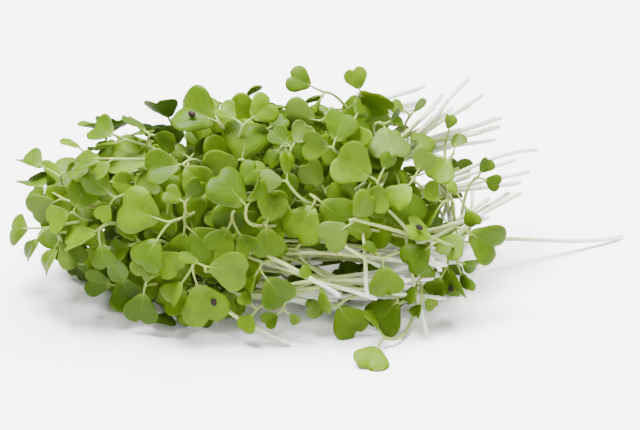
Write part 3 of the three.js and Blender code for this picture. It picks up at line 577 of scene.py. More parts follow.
def reserve_lane(spray, crowd):
    """Keeps the straight lane that the crossed stems will take free of seed leaves."""
    start = spray.crossing + spray.heading * LANE_LEAD
    steps = math.ceil(np.linalg.norm(start - spray.cut) / LANE_MARGIN)
    points = start + (spray.cut - start) * (np.arange(steps + 1) / steps)[:, None]
    crowd.put((-1 - spray.number, "lane", 0), points, np.full(len(points), LANE_MARGIN))


@functools.lru_cache(maxsize=1)
def settled_heap():
    """Every head, then every stem between them, and then again each stem that still clashes."""
    crowd = Crowd()
    orders = [(row[:3], row[3], None) for row in SPRAYS]
    orders += [(row[:3], [{}] * row[4], row[3]) for row in BACK_SPRAYS]
    sprays = [Spray(number, *order[0]) for number, order in enumerate(orders)]
    for spray in sprays:
        reserve_lane(spray, crowd)
    for spray, (_, heads, reach_x) in zip(sprays, orders):
        settle_heads(spray, heads, crowd, reach_x)
    crowd.drop_lanes()
    for round_number in range(STEM_ROUNDS):
        for spray in sprays:
            for index in range(len(spray.seedlings)):
                owner = (spray.number, "stem", index)
                if round_number > 0:
                    points, margins = crowd.groups[owner]
                    if crowd.clashes(owner, points, margins) == 0:
                        continue
                settle_stem(spray, index, round_number, crowd)
    return sprays, crowd


# The part of the front view that seed leaves cover, across and up, without the window of bare
# stems below its middle, and the cells that it is counted in.
LEAFY_OUTLINE = [
    (-87, 33), (-67, 38), (-57, 42), (-46, 39), (-39, 37), (-36, 52), (-17, 52), (-9, 48), (6, 52),
    (15, 56), (21, 46), (24, 33), (33, 21), (31, 12), (19, 14), (6, 14), (-6, 12), (-19, 10),
    (-24, -2), (-29, -9), (-45, -10), (-54, -7), (-63, -2), (-75, 5), (-82, 18), (-87, 26),
]
VIEW_CELL = 1.5
VIEW_LOW = np.array([-96, -18])
VIEW_CELLS = (128, 58)
COVER_STEPS = (11, 17)

# The forms of seedlings that fill the heap.
FILLING_LEAF_WIDTH = (6.5, 12.5)
FILLING_CUT_SHARE = (0.45, 0.8)
FILLING_STALK_START = 0.12
FILLING_STALK = (0.5, 1.5)
FILLING_OPENING = (1.9, 4.4)
FILLING_TURN = (-35, 45)
FILLING_TRIAL = 3
DETOUR_SAVED = 0.6

# How many are tried, how far in they lie, and how many of a head's sample points may come near
# to others. A layer gives how often each cell should be covered, then those two.
LAYER_TRIES = 900
LAYERS = [(1, (1, 12), 4), (2, (5, 24), 6), (3, (9, 34), 7)]
BACK_TRIES = 60
BACK_DEPTH = (0.72, 1.0)
BACK_CLASHES = 5

# Seedlings with stems across the window: the ranges of a head's place across, up and inward, and
# those of its cut end, along, away from the front and up.
WINDOW_TRIES = 60
WINDOW_CLASHES = 16
WINDOW_NUMBERS = 100
WINDOW_HEADS = ((-44, -18), (-6, 18), (5, 24))
WINDOW_CUTS = ((32, 45), (-18, 4), (3, 18))
WINDOW_RISE = (-3, 3)

# Seedlings with stems that lie loose over the others: a place for a seed leaf, and one for the
# cut end, across and up in the front view, each with how far in it lies.
LOOSE_STEMS = [
    ((-20, 14), 6, (17, -4), 0),
    ((-25, 11), 6, (6, -3), 0),
    ((6, 19), 6, (14, -3), -1),
    ((-26, 1), 6, (38, -4), 1),
    ((-20, 14), 9, (38, 6), 1),
    ((-33, -3), 6, (-9, -17), ON_SURFACE),
    ((24, 21), 8, (32, -15), ON_SURFACE),
    ((-16, 17), 8, (26, 1), 0),
    ((-22, 8), 7, (22, 7), 0),
    ((-30, 3), 8, (34, 2), 2),
    ((-14, 20), 9, (30, 10), 1),
    ((12, 22), 8, (36, 4), 0),
]
LOOSE_TRIES = 30
LOOSE_SHIFT = (-3, 3)
LOOSE_RISE = 2.5

# Seed leaves deep behind those stems: the ranges of their places across, up and inward.
BACKDROP_TRIES = 120
BACKDROP_CLASHES = 8
BACKDROP = ((-22, 34), (-4, 13), (22, 36))

# Fine forms: numbers of faces, of rings and of points along a path.
BLADE_CELLS = 14
TUBE_SIDES = 8
STEM_RINGS = 22
STALK_RINGS = 12
PATH_SHARES = np.linspace(0, 1, 60)
PATH_SMOOTHINGS = 6

# Stems beside each other at a crossing: each a turn further round it, and a little further out.
CROSSING_SPREAD = 1.3
CROSSING_WIDENING = 0.18
CROSSING_REACH = 14
CROSSING_TURN = 2.4
STEM_THICKNESS = (0.88, 1.12)
CUT_TAPER = 0.55
NEARLY_UPRIGHT = 0.9

# A blade's fine form, as shares of its width.
NOTCH_FILLED = (0.0, 0.085)
RIM_CURL = (-0.11, 0.04)
RIM_RIPPLE = 0.014
SLOW_RIPPLES = 3
QUICK_RIPPLES = 7
QUICK_RIPPLE_SHARE = 0.6
RIB_GROOVE = 0.012
CREASE_SOFTNESS = 0.03

# A leaf stalk: how far before and beyond the fork it bends, and the blade's rib that it becomes,
# with its places along the blade and its thickness there.
STALK_ROOT = 1.6
STALK_LEAD = 0.4
STALK_END = 2.0
RIB_PLACES = np.array([-0.36, -0.24, -0.1, 0.08])
RIB_TAPER = np.array([0.8, 0.58, 0.36, 0.12])
RIB_SINK = -0.12
STALK_GREENNESS = 1.6

# Painted shade: seed leaves low at the left end, which lie in the shadow under that end of the heap, are
# coloured deeper green: where that fades out, in metres.
PAINTED_SHADE_END_X = (-0.062, -0.036)
PAINTED_SHADE_HEIGHT = (0.004, 0.03)
PAINTED_SHADE_SHARE = 0.75


def inside(outline, across, up):
    """Whether a point of the front view is within an outline."""
    within = False
    for (x1, y1), (x2, y2) in zip(outline, outline[1:] + outline[:1]):
        if (y1 > up) != (y2 > up) and across < x1 + (x2 - x1) * (up - y1) / (y2 - y1):
            within = not within
    return within


class FrontView:
    """How many seed leaves lie over each cell of the front view that should be leafy."""

    def __init__(self):
        centres = [[VIEW_LOW + VIEW_CELL * (np.array([i, j]) + 0.5) for j in range(VIEW_CELLS[1])]
                   for i in range(VIEW_CELLS[0])]
        self.leafy = np.array([[inside(LEAFY_OUTLINE, *place) for place in column] for column in centres])
        self.layers = np.zeros(VIEW_CELLS, int)

    def cover(self, leaf):
        along, across = COVER_STEPS
        s, t = np.meshgrid(np.linspace(0, 1, along), np.linspace(-1, 1, across), indexing="ij")
        points = leaf.points(*blade_place(s.ravel(), t.ravel()))
        ups = points[:, 1] * math.sin(VIEW_ELEVATION) + points[:, 2] * math.cos(VIEW_ELEVATION)
        cells = ((np.column_stack([points[:, 0], ups]) - VIEW_LOW) / VIEW_CELL).astype(int)
        cells = np.unique(np.clip(cells, 0, np.array(VIEW_CELLS) - 1), axis=0)
        self.layers[cells[:, 0], cells[:, 1]] += 1

    def gap(self, wanted_layers, random):
        """The place of one cell, drawn at random, that is covered too few times."""
        cells = np.argwhere(self.leafy & (self.layers < wanted_layers))
        if not len(cells):
            return None
        return VIEW_LOW + VIEW_CELL * (cells[int(random(0, len(cells)))] + 0.5)


def filling_wish(place, inset, random):
    """Asks for a head with one seed leaf at a place of the front view."""
    angle = random(0, 2 * math.pi)
    fork = None
    leaves = []
    for side in (0, 1):
        width = random(*FILLING_LEAF_WIDTH)
        reach = (BASE_REACH + FILLING_STALK_START) * width + random(*FILLING_STALK)
        heading = angle + side * random(*FILLING_OPENING)
        step = np.array([math.cos(heading), math.sin(heading)]) * reach
        fork = place - step if fork is None else fork
        leaves.append((*(fork + step), width, random(*FILLING_TURN)))
    return {"fork": tuple(fork), "inset": inset, "leaves": leaves}


def wish_is_leafy(wish):
    """Whether both seed leaves are within the outline."""
    return all(inside(LEAFY_OUTLINE, *leaf[:2]) for leaf in wish["leaves"])


def filling_back_head(reach_x, random):
    """A head at random a little under the skin of the heap's back."""
    head = back_head(reach_x, random)
    share = random(*BACK_DEPTH)
    sunk = head.fork * np.array([0, share - 1, share - 1])
    head.fork = head.fork + sunk
    for leaf in head.leaves:
        leaf.middle = leaf.middle + sunk
    return head


class Filling:
    """Adds seedlings to the sprays wherever there is room for them."""

    def __init__(self):
        self.sprays, self.crowd = settled_heap()
        self.added = {spray.name: [] for spray in self.sprays}
        self.added["window"] = []
        self.view = FrontView()
        for spray in self.sprays:
            for seedling in spray.seedlings:
                self.cover(seedling.head)

    def cover(self, head):
        for leaf in head.leaves:
            self.view.cover(leaf)

    def spray_for(self, fork):
        """The spray whose crossing a new seedling's stem reaches most directly."""
        def detour(spray):
            reach = fork - spray.crossing
            return np.linalg.norm(reach) - DETOUR_SAVED * np.dot(reach, spray.heading)
        return min(self.sprays, key=detour)

    def add(self, head, clashes, random):
        """Adds a head with its stem to the nearest spray, unless it is in the way of others."""
        head.lift_to_floor()
        spray = self.spray_for(head.fork)
        if self.room_for(head, spray, clashes):
            cut_end = spray.cut_end({}, random(), 0, random)
            cut_end = spray.crossing + (cut_end - spray.crossing) * random(*FILLING_CUT_SHARE)
            self.keep(spray, head, cut_end, random)

    def add_loose(self, place, inset, cut_end, rise, random):
        """Adds a seedling with a stem of its own course, and tells whether there was room for it."""
        wish = filling_wish(place, inset, random)
        if not wish_is_leafy(wish):
            return False
        head = front_head(wish, 0, random)
        head.lift_to_floor()
        crossing = (head.fork + cut_end) / 2 + rise
        spray = Spray(WINDOW_NUMBERS + len(self.added["window"]), "window", crossing, cut_end)
        if not self.room_for(head, spray, WINDOW_CLASHES):
            return False
        self.keep(spray, head, cut_end, random)
        return True

    def room_for(self, head, spray, clashes):
        """Whether the head is clear enough of the others, and if so takes its room."""
        owner = (spray.number, "head", len(spray.seedlings) + len(self.added[spray.name]))
        samples = head.samples()
        if self.crowd.clashes(owner, *samples) > clashes:
            return False
        self.crowd.put(owner, *samples)
        return True

    def keep(self, spray, head, cut_end, random):
        self.cover(head)
        seedling = Seedling({}, head)
        seedling.green, seedling.pale = spray.halves(head, cut_end, FILLING_TRIAL, random)
        self.added[spray.name].append((spray, seedling))


def fill_window(filling, random):
    """Adds the stems that lie loose, then more across the window, then seed leaves behind."""
    for place, inset, cut_place, cut_inset in LOOSE_STEMS:
        cut_end = front_point(*cut_place, cut_inset)
        for _ in range(LOOSE_TRIES):
            near = np.array(place) + [random(*LOOSE_SHIFT), random(*LOOSE_SHIFT)]
            if filling.add_loose(near, inset, cut_end, TOWARD_VIEWER * LOOSE_RISE, random):
                break
    for _ in range(WINDOW_TRIES):
        across, up, inset = WINDOW_HEADS
        place = np.array([random(*across), random(*up)])
        cut_end = np.array([random(*reach) for reach in WINDOW_CUTS])
        rise = np.array([0, random(*WINDOW_RISE), random(*WINDOW_RISE)])
        filling.add_loose(place, random(*inset), cut_end, rise, random)
    for _ in range(BACKDROP_TRIES):
        across, up, inset = [random(*reach) for reach in BACKDROP]
        wish = filling_wish(np.array([across, up]), inset, random)
        lowest_up = BACKDROP[1][0]
        if min(leaf[1] for leaf in wish["leaves"]) > lowest_up:
            filling.add(front_head(wish, 0, random), BACKDROP_CLASHES, random)


def fill_layers(filling, random):
    """Adds seedlings where the front view is covered too few times."""
    for wanted_layers, inset, clashes in LAYERS:
        for _ in range(LAYER_TRIES):
            place = filling.view.gap(wanted_layers, random)
            if place is None:
                break
            wish = filling_wish(place, random(*inset), random)
            if wish_is_leafy(wish):
                filling.add(front_head(wish, 0, random), clashes, random)


def fill_back(filling, random):
    """Adds seedlings under the skin of the heap's back."""
    for row in BACK_SPRAYS:
        reach_x = row[3]
        for _ in range(BACK_TRIES):
            filling.add(filling_back_head(reach_x, random), BACK_CLASHES, random)


@functools.lru_cache(maxsize=1)
def filling_heap():
    """The added seedlings, each with its spray, in groups by name."""
    filling = Filling()
    random = random_source(FILLING_SEED)
    fill_window(filling, random)
    fill_layers(filling, random)
    fill_back(filling, random)
    return filling.added


@functools.lru_cache(maxsize=1)
def blade_template():
    """A closed slab: along and across it from -1 to 1, its upper face at 1 and its lower at -1."""
    bm = bmesh.new()
    bmesh.ops.create_grid(bm, x_segments=BLADE_CELLS, y_segments=BLADE_CELLS, size=1)
    risen = bmesh.ops.extrude_face_region(bm, geom=bm.faces[:])["geom"]
    top = [item for item in risen if isinstance(item, bmesh.types.BMVert)]
    bmesh.ops.translate(bm, verts=bm.verts[:], vec=(0, 0, -1))
    bmesh.ops.translate(bm, verts=top, vec=(0, 0, 2))
    return template_mesh(bm, "blade_template")


@functools.lru_cache(maxsize=4)
def tube_template(rings):
    """A closed tube of radius 1 along Z, with its rings one apart from 0."""
    bm = bmesh.new()
    bmesh.ops.create_cone(bm, cap_ends=True, segments=TUBE_SIDES, radius1=1, radius2=1, depth=rings)
    long_edges = [edge for edge in bm.edges if abs(edge.verts[0].co.z - edge.verts[1].co.z) > 0.5]
    bmesh.ops.subdivide_edges(bm, edges=long_edges, cuts=rings - 1)
    bmesh.ops.translate(bm, verts=bm.verts[:], vec=(0, 0, rings / 2))
    return template_mesh(bm, "tube_template")


def template_mesh(bm, name):
    """The finished bmesh as a mesh, with its corners as an array."""
    bmesh.ops.recalc_face_normals(bm, faces=bm.faces[:])
    mesh = bpy.data.meshes.new(name)
    bm.to_mesh(mesh)
    bm.free()
    corners = np.empty(len(mesh.vertices) * 3)
    mesh.vertices.foreach_get("co", corners)
    return mesh, corners.reshape(-1, 3)


class Piece:
    """Gathers shaped copies of the templates and makes one object of them."""

    def __init__(self, name, materials):
        self.name = name
        self.materials = materials
        self.parts = []

    def add(self, template, points, material, **marks):
        """One shaped copy in millimetres, with a number or an array of numbers for each mark."""
        self.parts.append((template, points, material, marks))

    def build(self, replaced=()):
        bm = bmesh.new()
        for template, points, material, _ in self.parts:
            copy = template.copy()
            resting = np.array(points)
            resting[:, 2] = np.maximum(resting[:, 2], 0.0)
            copy.vertices.foreach_set("co", ((resting - ORIGIN) * MM).ravel())
            first = len(bm.faces)
            bm.from_mesh(copy)
            bm.faces.ensure_lookup_table()
            for face in bm.faces[first:]:
                face.material_index = material
                face.smooth = True
            bpy.data.meshes.remove(copy)
        mesh = bpy.data.meshes.new(self.name)
        bm.to_mesh(mesh)
        bm.free()
        for material in self.materials:
            mesh.materials.append(material)
        self.write_marks(mesh)
        made = bpy.data.objects.new(self.name, mesh)
        bpy.context.scene.collection.objects.link(made)
        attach(made, "root")
        if replaced:
            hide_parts(*replaced)

    def write_marks(self, mesh):
        """Each mark as a number on every corner point, and the leaf's own plane as its UV map."""
        for name in ("tint", "along", "upper", "rim"):
            values = [np.broadcast_to(part[3].get(name, 0.0), len(part[1])) for part in self.parts]
            mark = mesh.attributes.new(name, "FLOAT", "POINT")
            mark.data.foreach_set("value", np.concatenate(values).astype(np.float32))
        places = [part[3].get("place", np.zeros((len(part[1]), 2))) for part in self.parts]
        corners = np.empty(len(mesh.loops), dtype=np.int32)
        mesh.loops.foreach_get("vertex_index", corners)
        layer = mesh.uv_layers.new(name="LeafPlane")
        layer.data.foreach_set("uv", np.concatenate(places)[corners].astype(np.float32).ravel())


def add_blade(piece, leaf, sizes, random):
    """A fine seed leaf: round lobes, a soft rib groove, a curled rim and a thin edge."""
    template, corners = blade_template()
    s, t, face = (corners[:, 0] + 1) / 2, corners[:, 1], corners[:, 2]
    x, y = blade_place(s, t)
    side = np.abs(t)
    theta = THETA_LOBE_TIP * side
    straight = NOTCH_REACH * (1 - side) + outline_radius(THETA_LOBE_TIP) * math.cos(THETA_LOBE_TIP) * side
    x = x + s ** 6 * (outline_radius(theta) * np.cos(theta) - straight)
    angle = np.arctan2(y, x)
    reach = np.hypot(x, y) / outline_radius(np.abs(angle))
    rim = np.clip(reach, 0, 1)
    filled = random(*NOTCH_FILLED)
    x = x + filled * s ** 4 * np.exp(-((np.arctan2(y, x) / NOTCH_WIDTH) ** 2))
    curl = random(*RIM_CURL)
    phase = random(0, 2 * math.pi)
    slow = RIM_RIPPLE * np.sin(SLOW_RIPPLES * angle + phase)
    quick = RIM_RIPPLE * QUICK_RIPPLE_SHARE * np.sin(QUICK_RIPPLES * angle - 2 * phase)
    bend = curl * rim ** 4 + (slow + quick) * rim ** 3
    bend -= RIB_GROOVE * np.exp(-((y / CREASE_SOFTNESS) ** 2)) * (1 - s)
    crease = leaf.fold * FOLD_DEPTH * (np.sqrt(y * y + CREASE_SOFTNESS ** 2) - np.abs(y))
    thin = 1 - (1 - sizes.rim_share) * rim ** 5
    lift = face * sizes.blade_thickness / MM / 2 * thin
    points = leaf.points(x, y, lift) + ((bend + crease) * leaf.width)[:, None] * leaf.normal
    piece.add(template, points, 0, tint=random(), upper=(face + 1) / 2, rim=rim,
              place=np.column_stack([y + 0.5, x + 0.5]))


def tube_points(corners, path, radii):
    """The tube template laid along a path, turned as little as it can be."""
    tangents = np.gradient(path, axis=0)
    tangents /= np.linalg.norm(tangents, axis=1, keepdims=True)
    helper = UPWARD if abs(tangents[0][2]) < NEARLY_UPRIGHT else np.array([1.0, 0.0, 0.0])
    normal = unit(np.cross(tangents[0], helper))
    normals = []
    for tangent in tangents:
        normal = unit(normal - tangent * np.dot(normal, tangent))
        normals.append(normal)
    normals = np.array(normals)
    binormals = np.cross(tangents, normals)
    ring = np.rint(corners[:, 2]).astype(int)
    round_part = corners[:, :1] * normals[ring] + corners[:, 1:2] * binormals[ring]
    return path[ring] + radii[ring][:, None] * round_part


def evened(path, rings):
    """The path with its points evenly spaced."""
    steps = np.linalg.norm(np.diff(path, axis=0), axis=1)
    reached = np.concatenate([[0], np.cumsum(steps)])
    wanted = np.linspace(0, reached[-1], rings + 1)
    return np.column_stack([np.interp(wanted, reached, path[:, axis]) for axis in range(3)])


def stem_path(spray, seedling, index):
    """A stem from its cut end to its fork, beside the others where they cross, and its crossing."""
    pale = bezier(seedling.pale, PATH_SHARES)[::-1]
    green = bezier(seedling.green, PATH_SHARES)
    pale = pale[:-1][(pale[:-1] - spray.crossing) @ spray.heading < -CROSSING_OVERLAP]
    first_ahead = int(np.argmax((green - spray.crossing) @ spray.heading > CROSSING_OVERLAP))
    path = np.concatenate([pale, spray.crossing[None], green[first_ahead:]])
    middle = len(pale)
    for _ in range(PATH_SMOOTHINGS):
        path[1:-1] = (path[:-2] + 2 * path[1:-1] + path[2:]) / 4
    angle = CROSSING_TURN * index + spray.number
    spread = CROSSING_SPREAD * (1 + CROSSING_WIDENING * index)
    side = unit(np.cross(UPWARD, spray.heading))
    offset = side * math.cos(angle) + np.cross(spray.heading, side) * math.sin(angle)
    away = np.linalg.norm(path - spray.crossing, axis=1)
    path = path + offset * (spread * np.exp(-((away / CROSSING_REACH) ** 2)))[:, None]
    path[:, 2] = np.maximum(path[:, 2], PALE_STEM_RADIUS)
    return path, middle


def add_stem(green_piece, pale_piece, spray, seedling, index, sizes, random):
    """Both halves of a stem, which meet face to face beside the spray's crossing."""
    path, middle = stem_path(spray, seedling, index)
    template, corners = tube_template(STEM_RINGS)
    tint = random()
    thick = random(*STEM_THICKNESS)
    shares = ((pale_piece, path[:middle + 1], 0.0, 0.5), (green_piece, path[middle:], 0.5, 1.0))
    for piece, stretch, low, high in shares:
        along = np.linspace(low, high, STEM_RINGS + 1)
        radii = thick * (sizes.stem_radius + (sizes.fork_radius - sizes.stem_radius) * along) / MM
        if low == 0:
            radii[0] *= CUT_TAPER
        ring = np.rint(corners[:, 2]).astype(int)
        points = tube_points(corners, evened(stretch, STEM_RINGS), radii)
        piece.add(template, points, 1, tint=tint, along=along[ring])
    return path


def add_stalk(piece, stem, head, leaf, sizes, random):
    """A leaf stalk that parts from the stem's tip and runs on as the blade's rib."""
    arrival = unit(stem[-1] - stem[-3])
    start = head.fork - arrival * STALK_ROOT
    base = leaf.base()
    reach = np.linalg.norm(base - head.fork)
    before_base = base - leaf.along * min(STALK_END, reach / 2)
    corners = (start, head.fork + arrival * STALK_LEAD, before_base, base)
    stalk = bezier(corners, np.linspace(0, 1, STALK_RINGS + 1 - len(RIB_PLACES)))
    rib = leaf.points(RIB_PLACES, np.zeros(len(RIB_PLACES)), np.full(len(RIB_PLACES), RIB_SINK))
    path = np.concatenate([stalk, rib])
    narrowing = np.linspace(sizes.fork_radius, sizes.stalk_radius, len(stalk))
    radii = np.concatenate([narrowing, sizes.stalk_radius * RIB_TAPER]) / MM
    template, tube = tube_template(STALK_RINGS)
    ring = np.rint(tube[:, 2]).astype(int)
    along = np.linspace(1.0, STALK_GREENNESS, STALK_RINGS + 1)
    piece.add(template, tube_points(tube, path, radii), 1, tint=random(), along=along[ring])


def add_seedling(green_piece, pale_piece, spray, seedling, index, sizes, random):
    """A whole seedling: its stem, then a stalk and a blade for each seed leaf."""
    stem = add_stem(green_piece, pale_piece, spray, seedling, index, sizes, random)
    for leaf in seedling.head.leaves:
        add_stalk(green_piece, stem, seedling.head, leaf, sizes, random)
        add_blade(green_piece, leaf, sizes, random)


class Nodes:
    """Adds shader nodes to one new material."""

    def __init__(self, name):
        self.material = bpy.data.materials.new(name)
        self.material.use_nodes = True
        self.tree = self.material.node_tree
        self.tree.nodes.clear()

    def add(self, kind, inputs, **settings):
        made = self.tree.nodes.new(kind)
        for key, value in settings.items():
            setattr(made, key, value)
        for key, value in inputs.items():
            if isinstance(value, bpy.types.NodeSocket):
                self.tree.links.new(value, made.inputs[key])
            else:
                made.inputs[key].default_value = value
        return made

    def math(self, operation, first, second=0.0):
        return self.add("ShaderNodeMath", {0: first, 1: second}, operation=operation).outputs[0]

    def between(self, value, low, high, start=0.0, end=1.0):
        """The value carried smoothly from low..high to start..end."""
        inputs = {"Value": value, "From Min": low, "From Max": high, "To Min": start, "To Max": end}
        return self.add("ShaderNodeMapRange", inputs, interpolation_type="SMOOTHSTEP").outputs[0]

    def mix(self, share, first, second):
        """Two colours mixed by a share."""
        made = self.add("ShaderNodeMix", {0: share}, data_type="RGBA")
        for socket, value in ((made.inputs[6], first), (made.inputs[7], second)):
            if isinstance(value, bpy.types.NodeSocket):
                self.tree.links.new(value, socket)
            else:
                socket.default_value = tuple(value)[:3] + (1,)
        return made.outputs[2]

    def mark(self, name):
        return self.add("ShaderNodeAttribute", {}, attribute_name=name).outputs["Fac"]

    def place(self):
        return self.add("ShaderNodeTexCoord", {}).outputs["Object"]

    def noise(self, scale, detail=3.0):
        inputs = {"Vector": self.place(), "Scale": scale, "Detail": detail, "Roughness": 0.55}
        return self.add("ShaderNodeTexNoise", inputs).outputs["Fac"]

    def bump(self, height, strength, distance):
        inputs = {"Height": height, "Strength": strength, "Distance": distance}
        return self.add("ShaderNodeBump", inputs).outputs[0]

    def finish(self, shader):
        self.add("ShaderNodeOutputMaterial", {"Surface": shader})
        return self.material


def vein_lines(nodes):
    """Where a blade's veins run: one rib, and side veins that leave it at a slant."""
    plane = nodes.add("ShaderNodeUVMap", {}, uv_map="LeafPlane").outputs[0]
    parts = nodes.add("ShaderNodeSeparateXYZ", {0: plane})
    across = nodes.math("ABSOLUTE", nodes.math("SUBTRACT", parts.outputs[0], 0.5))
    along = nodes.math("SUBTRACT", parts.outputs[1], 0.5)
    rib_width = nodes.between(along, -0.42, 0.2, 0.03, 0.006)
    rib = nodes.math("SUBTRACT", 1.0, nodes.between(nodes.math("DIVIDE", across, rib_width), 0.3, 1.2))
    rib = nodes.math("MULTIPLY", rib, nodes.between(along, 0.05, 0.3, 1.0, 0.0))
    wobble = nodes.math("MULTIPLY", nodes.noise(260, 2.0), 0.12)
    slanted = nodes.math("SUBTRACT", nodes.math("MULTIPLY", across, 1.1), along)
    rows = nodes.math("FRACT", nodes.math("MULTIPLY", nodes.math("ADD", slanted, wobble), 5.5))
    line = nodes.math("ABSOLUTE", nodes.math("SUBTRACT", rows, 0.5))
    side = nodes.between(line, 0.0, 0.09, 1.0, 0.0)
    side = nodes.math("MULTIPLY", side, nodes.between(across, 0.3, 0.46, 1.0, 0.0))
    return rib, side, along


def leaf_material(colours):
    """Satin green blades that let light through, with a pale rib, base and rim, and painted shade low at
    the left end.
    """
    nodes = Nodes("seed_leaf")
    rib, side, along = vein_lines(nodes)
    colour = nodes.mix(nodes.between(nodes.mark("tint"), 0.35, 0.9), colours.leaf_green, colours.leaf_young)
    colour = nodes.mix(nodes.between(nodes.mark("tint"), 0.0, 0.35, 0.6, 0.0), colour, colours.deep_green_and_painted_shade)
    patches = nodes.between(nodes.noise(170, 3.0), 0.42, 0.7)
    colour = nodes.mix(nodes.math("MULTIPLY", patches, 0.55), colour, colours.deep_green_and_painted_shade)
    # Painted shade: blades low at the left end are mixed towards deep green, standing in for the shadow
    # under that end of the heap.
    place = nodes.add("ShaderNodeSeparateXYZ", {0: nodes.place()})
    left = nodes.between(place.outputs[0], *PAINTED_SHADE_END_X, 1.0, 0.0)
    low = nodes.between(place.outputs[2], *PAINTED_SHADE_HEIGHT, PAINTED_SHADE_SHARE, 0.0)
    colour = nodes.mix(nodes.math("MULTIPLY", left, low), colour, colours.deep_green_and_painted_shade)
    colour = nodes.mix(nodes.math("MULTIPLY", side, 0.16), colour, colours.vein)
    colour = nodes.mix(nodes.math("MULTIPLY", rib, 0.4), colour, colours.vein)
    colour = nodes.mix(nodes.between(along, -0.44, -0.2, 0.6, 0.0), colour, colours.vein)
    rim = nodes.between(nodes.mark("rim"), 0.93, 1.0, 0.0, 0.35)
    colour = nodes.mix(rim, colour, colours.leaf_young)
    below = nodes.math("SUBTRACT", 1.0, nodes.mark("upper"))
    colour = nodes.mix(nodes.math("MULTIPLY", below, 0.65), colour, colours.underside)
    grain = nodes.math("ADD", nodes.math("MULTIPLY", nodes.noise(1500, 2.0), 0.5), side)
    normal = nodes.bump(nodes.math("SUBTRACT", grain, rib), 0.25, 0.00012)
    roughness = nodes.between(nodes.noise(420, 2.0), 0.3, 0.7, 0.4, 0.56)
    solid = nodes.add("ShaderNodeBsdfPrincipled", {
        "Base Color": colour, "Roughness": roughness, "Normal": normal, "Specular IOR Level": 0.15,
    })
    glow = nodes.mix(0.5, colour, colours.leaf_glow)
    through = nodes.add("ShaderNodeBsdfTranslucent", {"Color": glow, "Normal": normal})
    both = nodes.add("ShaderNodeMixShader", {0: 0.3, 1: solid.outputs[0], 2: through.outputs[0]})
    return nodes.finish(both.outputs[0])


def stem_material(colours):
    """Watery stems, white where they were cut and greener towards the leaves."""
    nodes = Nodes("stem")
    along = nodes.mark("along")
    colour = nodes.mix(nodes.between(along, 0.06, 0.42), colours.stem_white, colours.stem_pale)
    colour = nodes.mix(nodes.between(along, 0.55, 1.15), colour, colours.stem_green)
    colour = nodes.mix(nodes.math("MULTIPLY", nodes.mark("tint"), 0.3), colour, colours.stem_pale)
    streaks = nodes.between(nodes.noise(600, 3.0), 0.35, 0.75)
    colour = nodes.mix(nodes.math("MULTIPLY", streaks, 0.2), colour, colours.stem_green)
    normal = nodes.bump(nodes.noise(1200, 3.0), 0.3, 0.0001)
    roughness = nodes.between(nodes.noise(500, 2.0), 0.3, 0.7, 0.3, 0.45)
    solid = nodes.add("ShaderNodeBsdfPrincipled", {
        "Base Color": colour, "Roughness": roughness, "Normal": normal, "Specular IOR Level": 0.5,
    })
    through = nodes.add("ShaderNodeBsdfTranslucent", {"Color": colour, "Normal": normal})
    both = nodes.add("ShaderNodeMixShader", {0: 0.25, 1: solid.outputs[0], 2: through.outputs[0]})
    return nodes.finish(both.outputs[0])


def hull_material(colours):
    """Dry dark seed hulls with a wrinkled, spotted skin."""
    nodes = Nodes("seed_hull")
    spots = nodes.between(nodes.noise(1800, 4.0), 0.45, 0.7)
    colour = nodes.mix(spots, colours.hull_dark, colours.hull_light)
    normal = nodes.bump(nodes.noise(3000, 4.0), 0.6, 0.0001)
    skin = nodes.add("ShaderNodeBsdfPrincipled", {
        "Base Color": colour, "Roughness": 0.55, "Normal": normal, "Specular IOR Level": 0.12,
    })
    return nodes.finish(skin.outputs[0])


def floor_material(colours):
    """Plain pale paper."""
    nodes = Nodes("floor")
    grain = nodes.between(nodes.noise(30, 2.0), 0.3, 0.7, 0.0, 0.02)
    colour = nodes.mix(grain, colours.floor, (0.8, 0.8, 0.8))
    paper = nodes.add("ShaderNodeBsdfPrincipled", {
        "Base Color": colour, "Roughness": 0.9, "Specular IOR Level": 0.1,
    })
    return nodes.finish(paper.outputs[0])


@functools.lru_cache(maxsize=1)
def greens_materials():
    """The two materials of every seedling, in the order that the pieces number them."""
    colours = bpy.context.scene.greens_colours
    return leaf_material(colours), stem_material(colours)


def colour_setting(name, description, default):
    return bpy.props.FloatVectorProperty(name=name, description=description, default=default,
                                         subtype="COLOR", min=0, max=1, size=3)


def length_setting(name, description, default):
    return bpy.props.FloatProperty(name=name, description=description, default=default,
                                   unit="LENGTH", min=0.00005, precision=5)


class GreensSizes(bpy.types.PropertyGroup):
    blade_thickness: length_setting("Blade thickness", "Thickness in the middle of a blade", 0.00045)
    rim_share: bpy.props.FloatProperty(
        name="Rim thickness", description="A blade's thickness at its rim, as a share of its middle",
        default=0.35, min=0.1, max=1, subtype="FACTOR")
    stem_radius: length_setting("Stem radius", "Radius of a stem at its cut end", 0.00072)
    fork_radius: length_setting("Fork radius", "Radius of a stem at its fork", 0.00043)
    stalk_radius: length_setting("Stalk radius", "Radius of a leaf stalk", 0.00028)


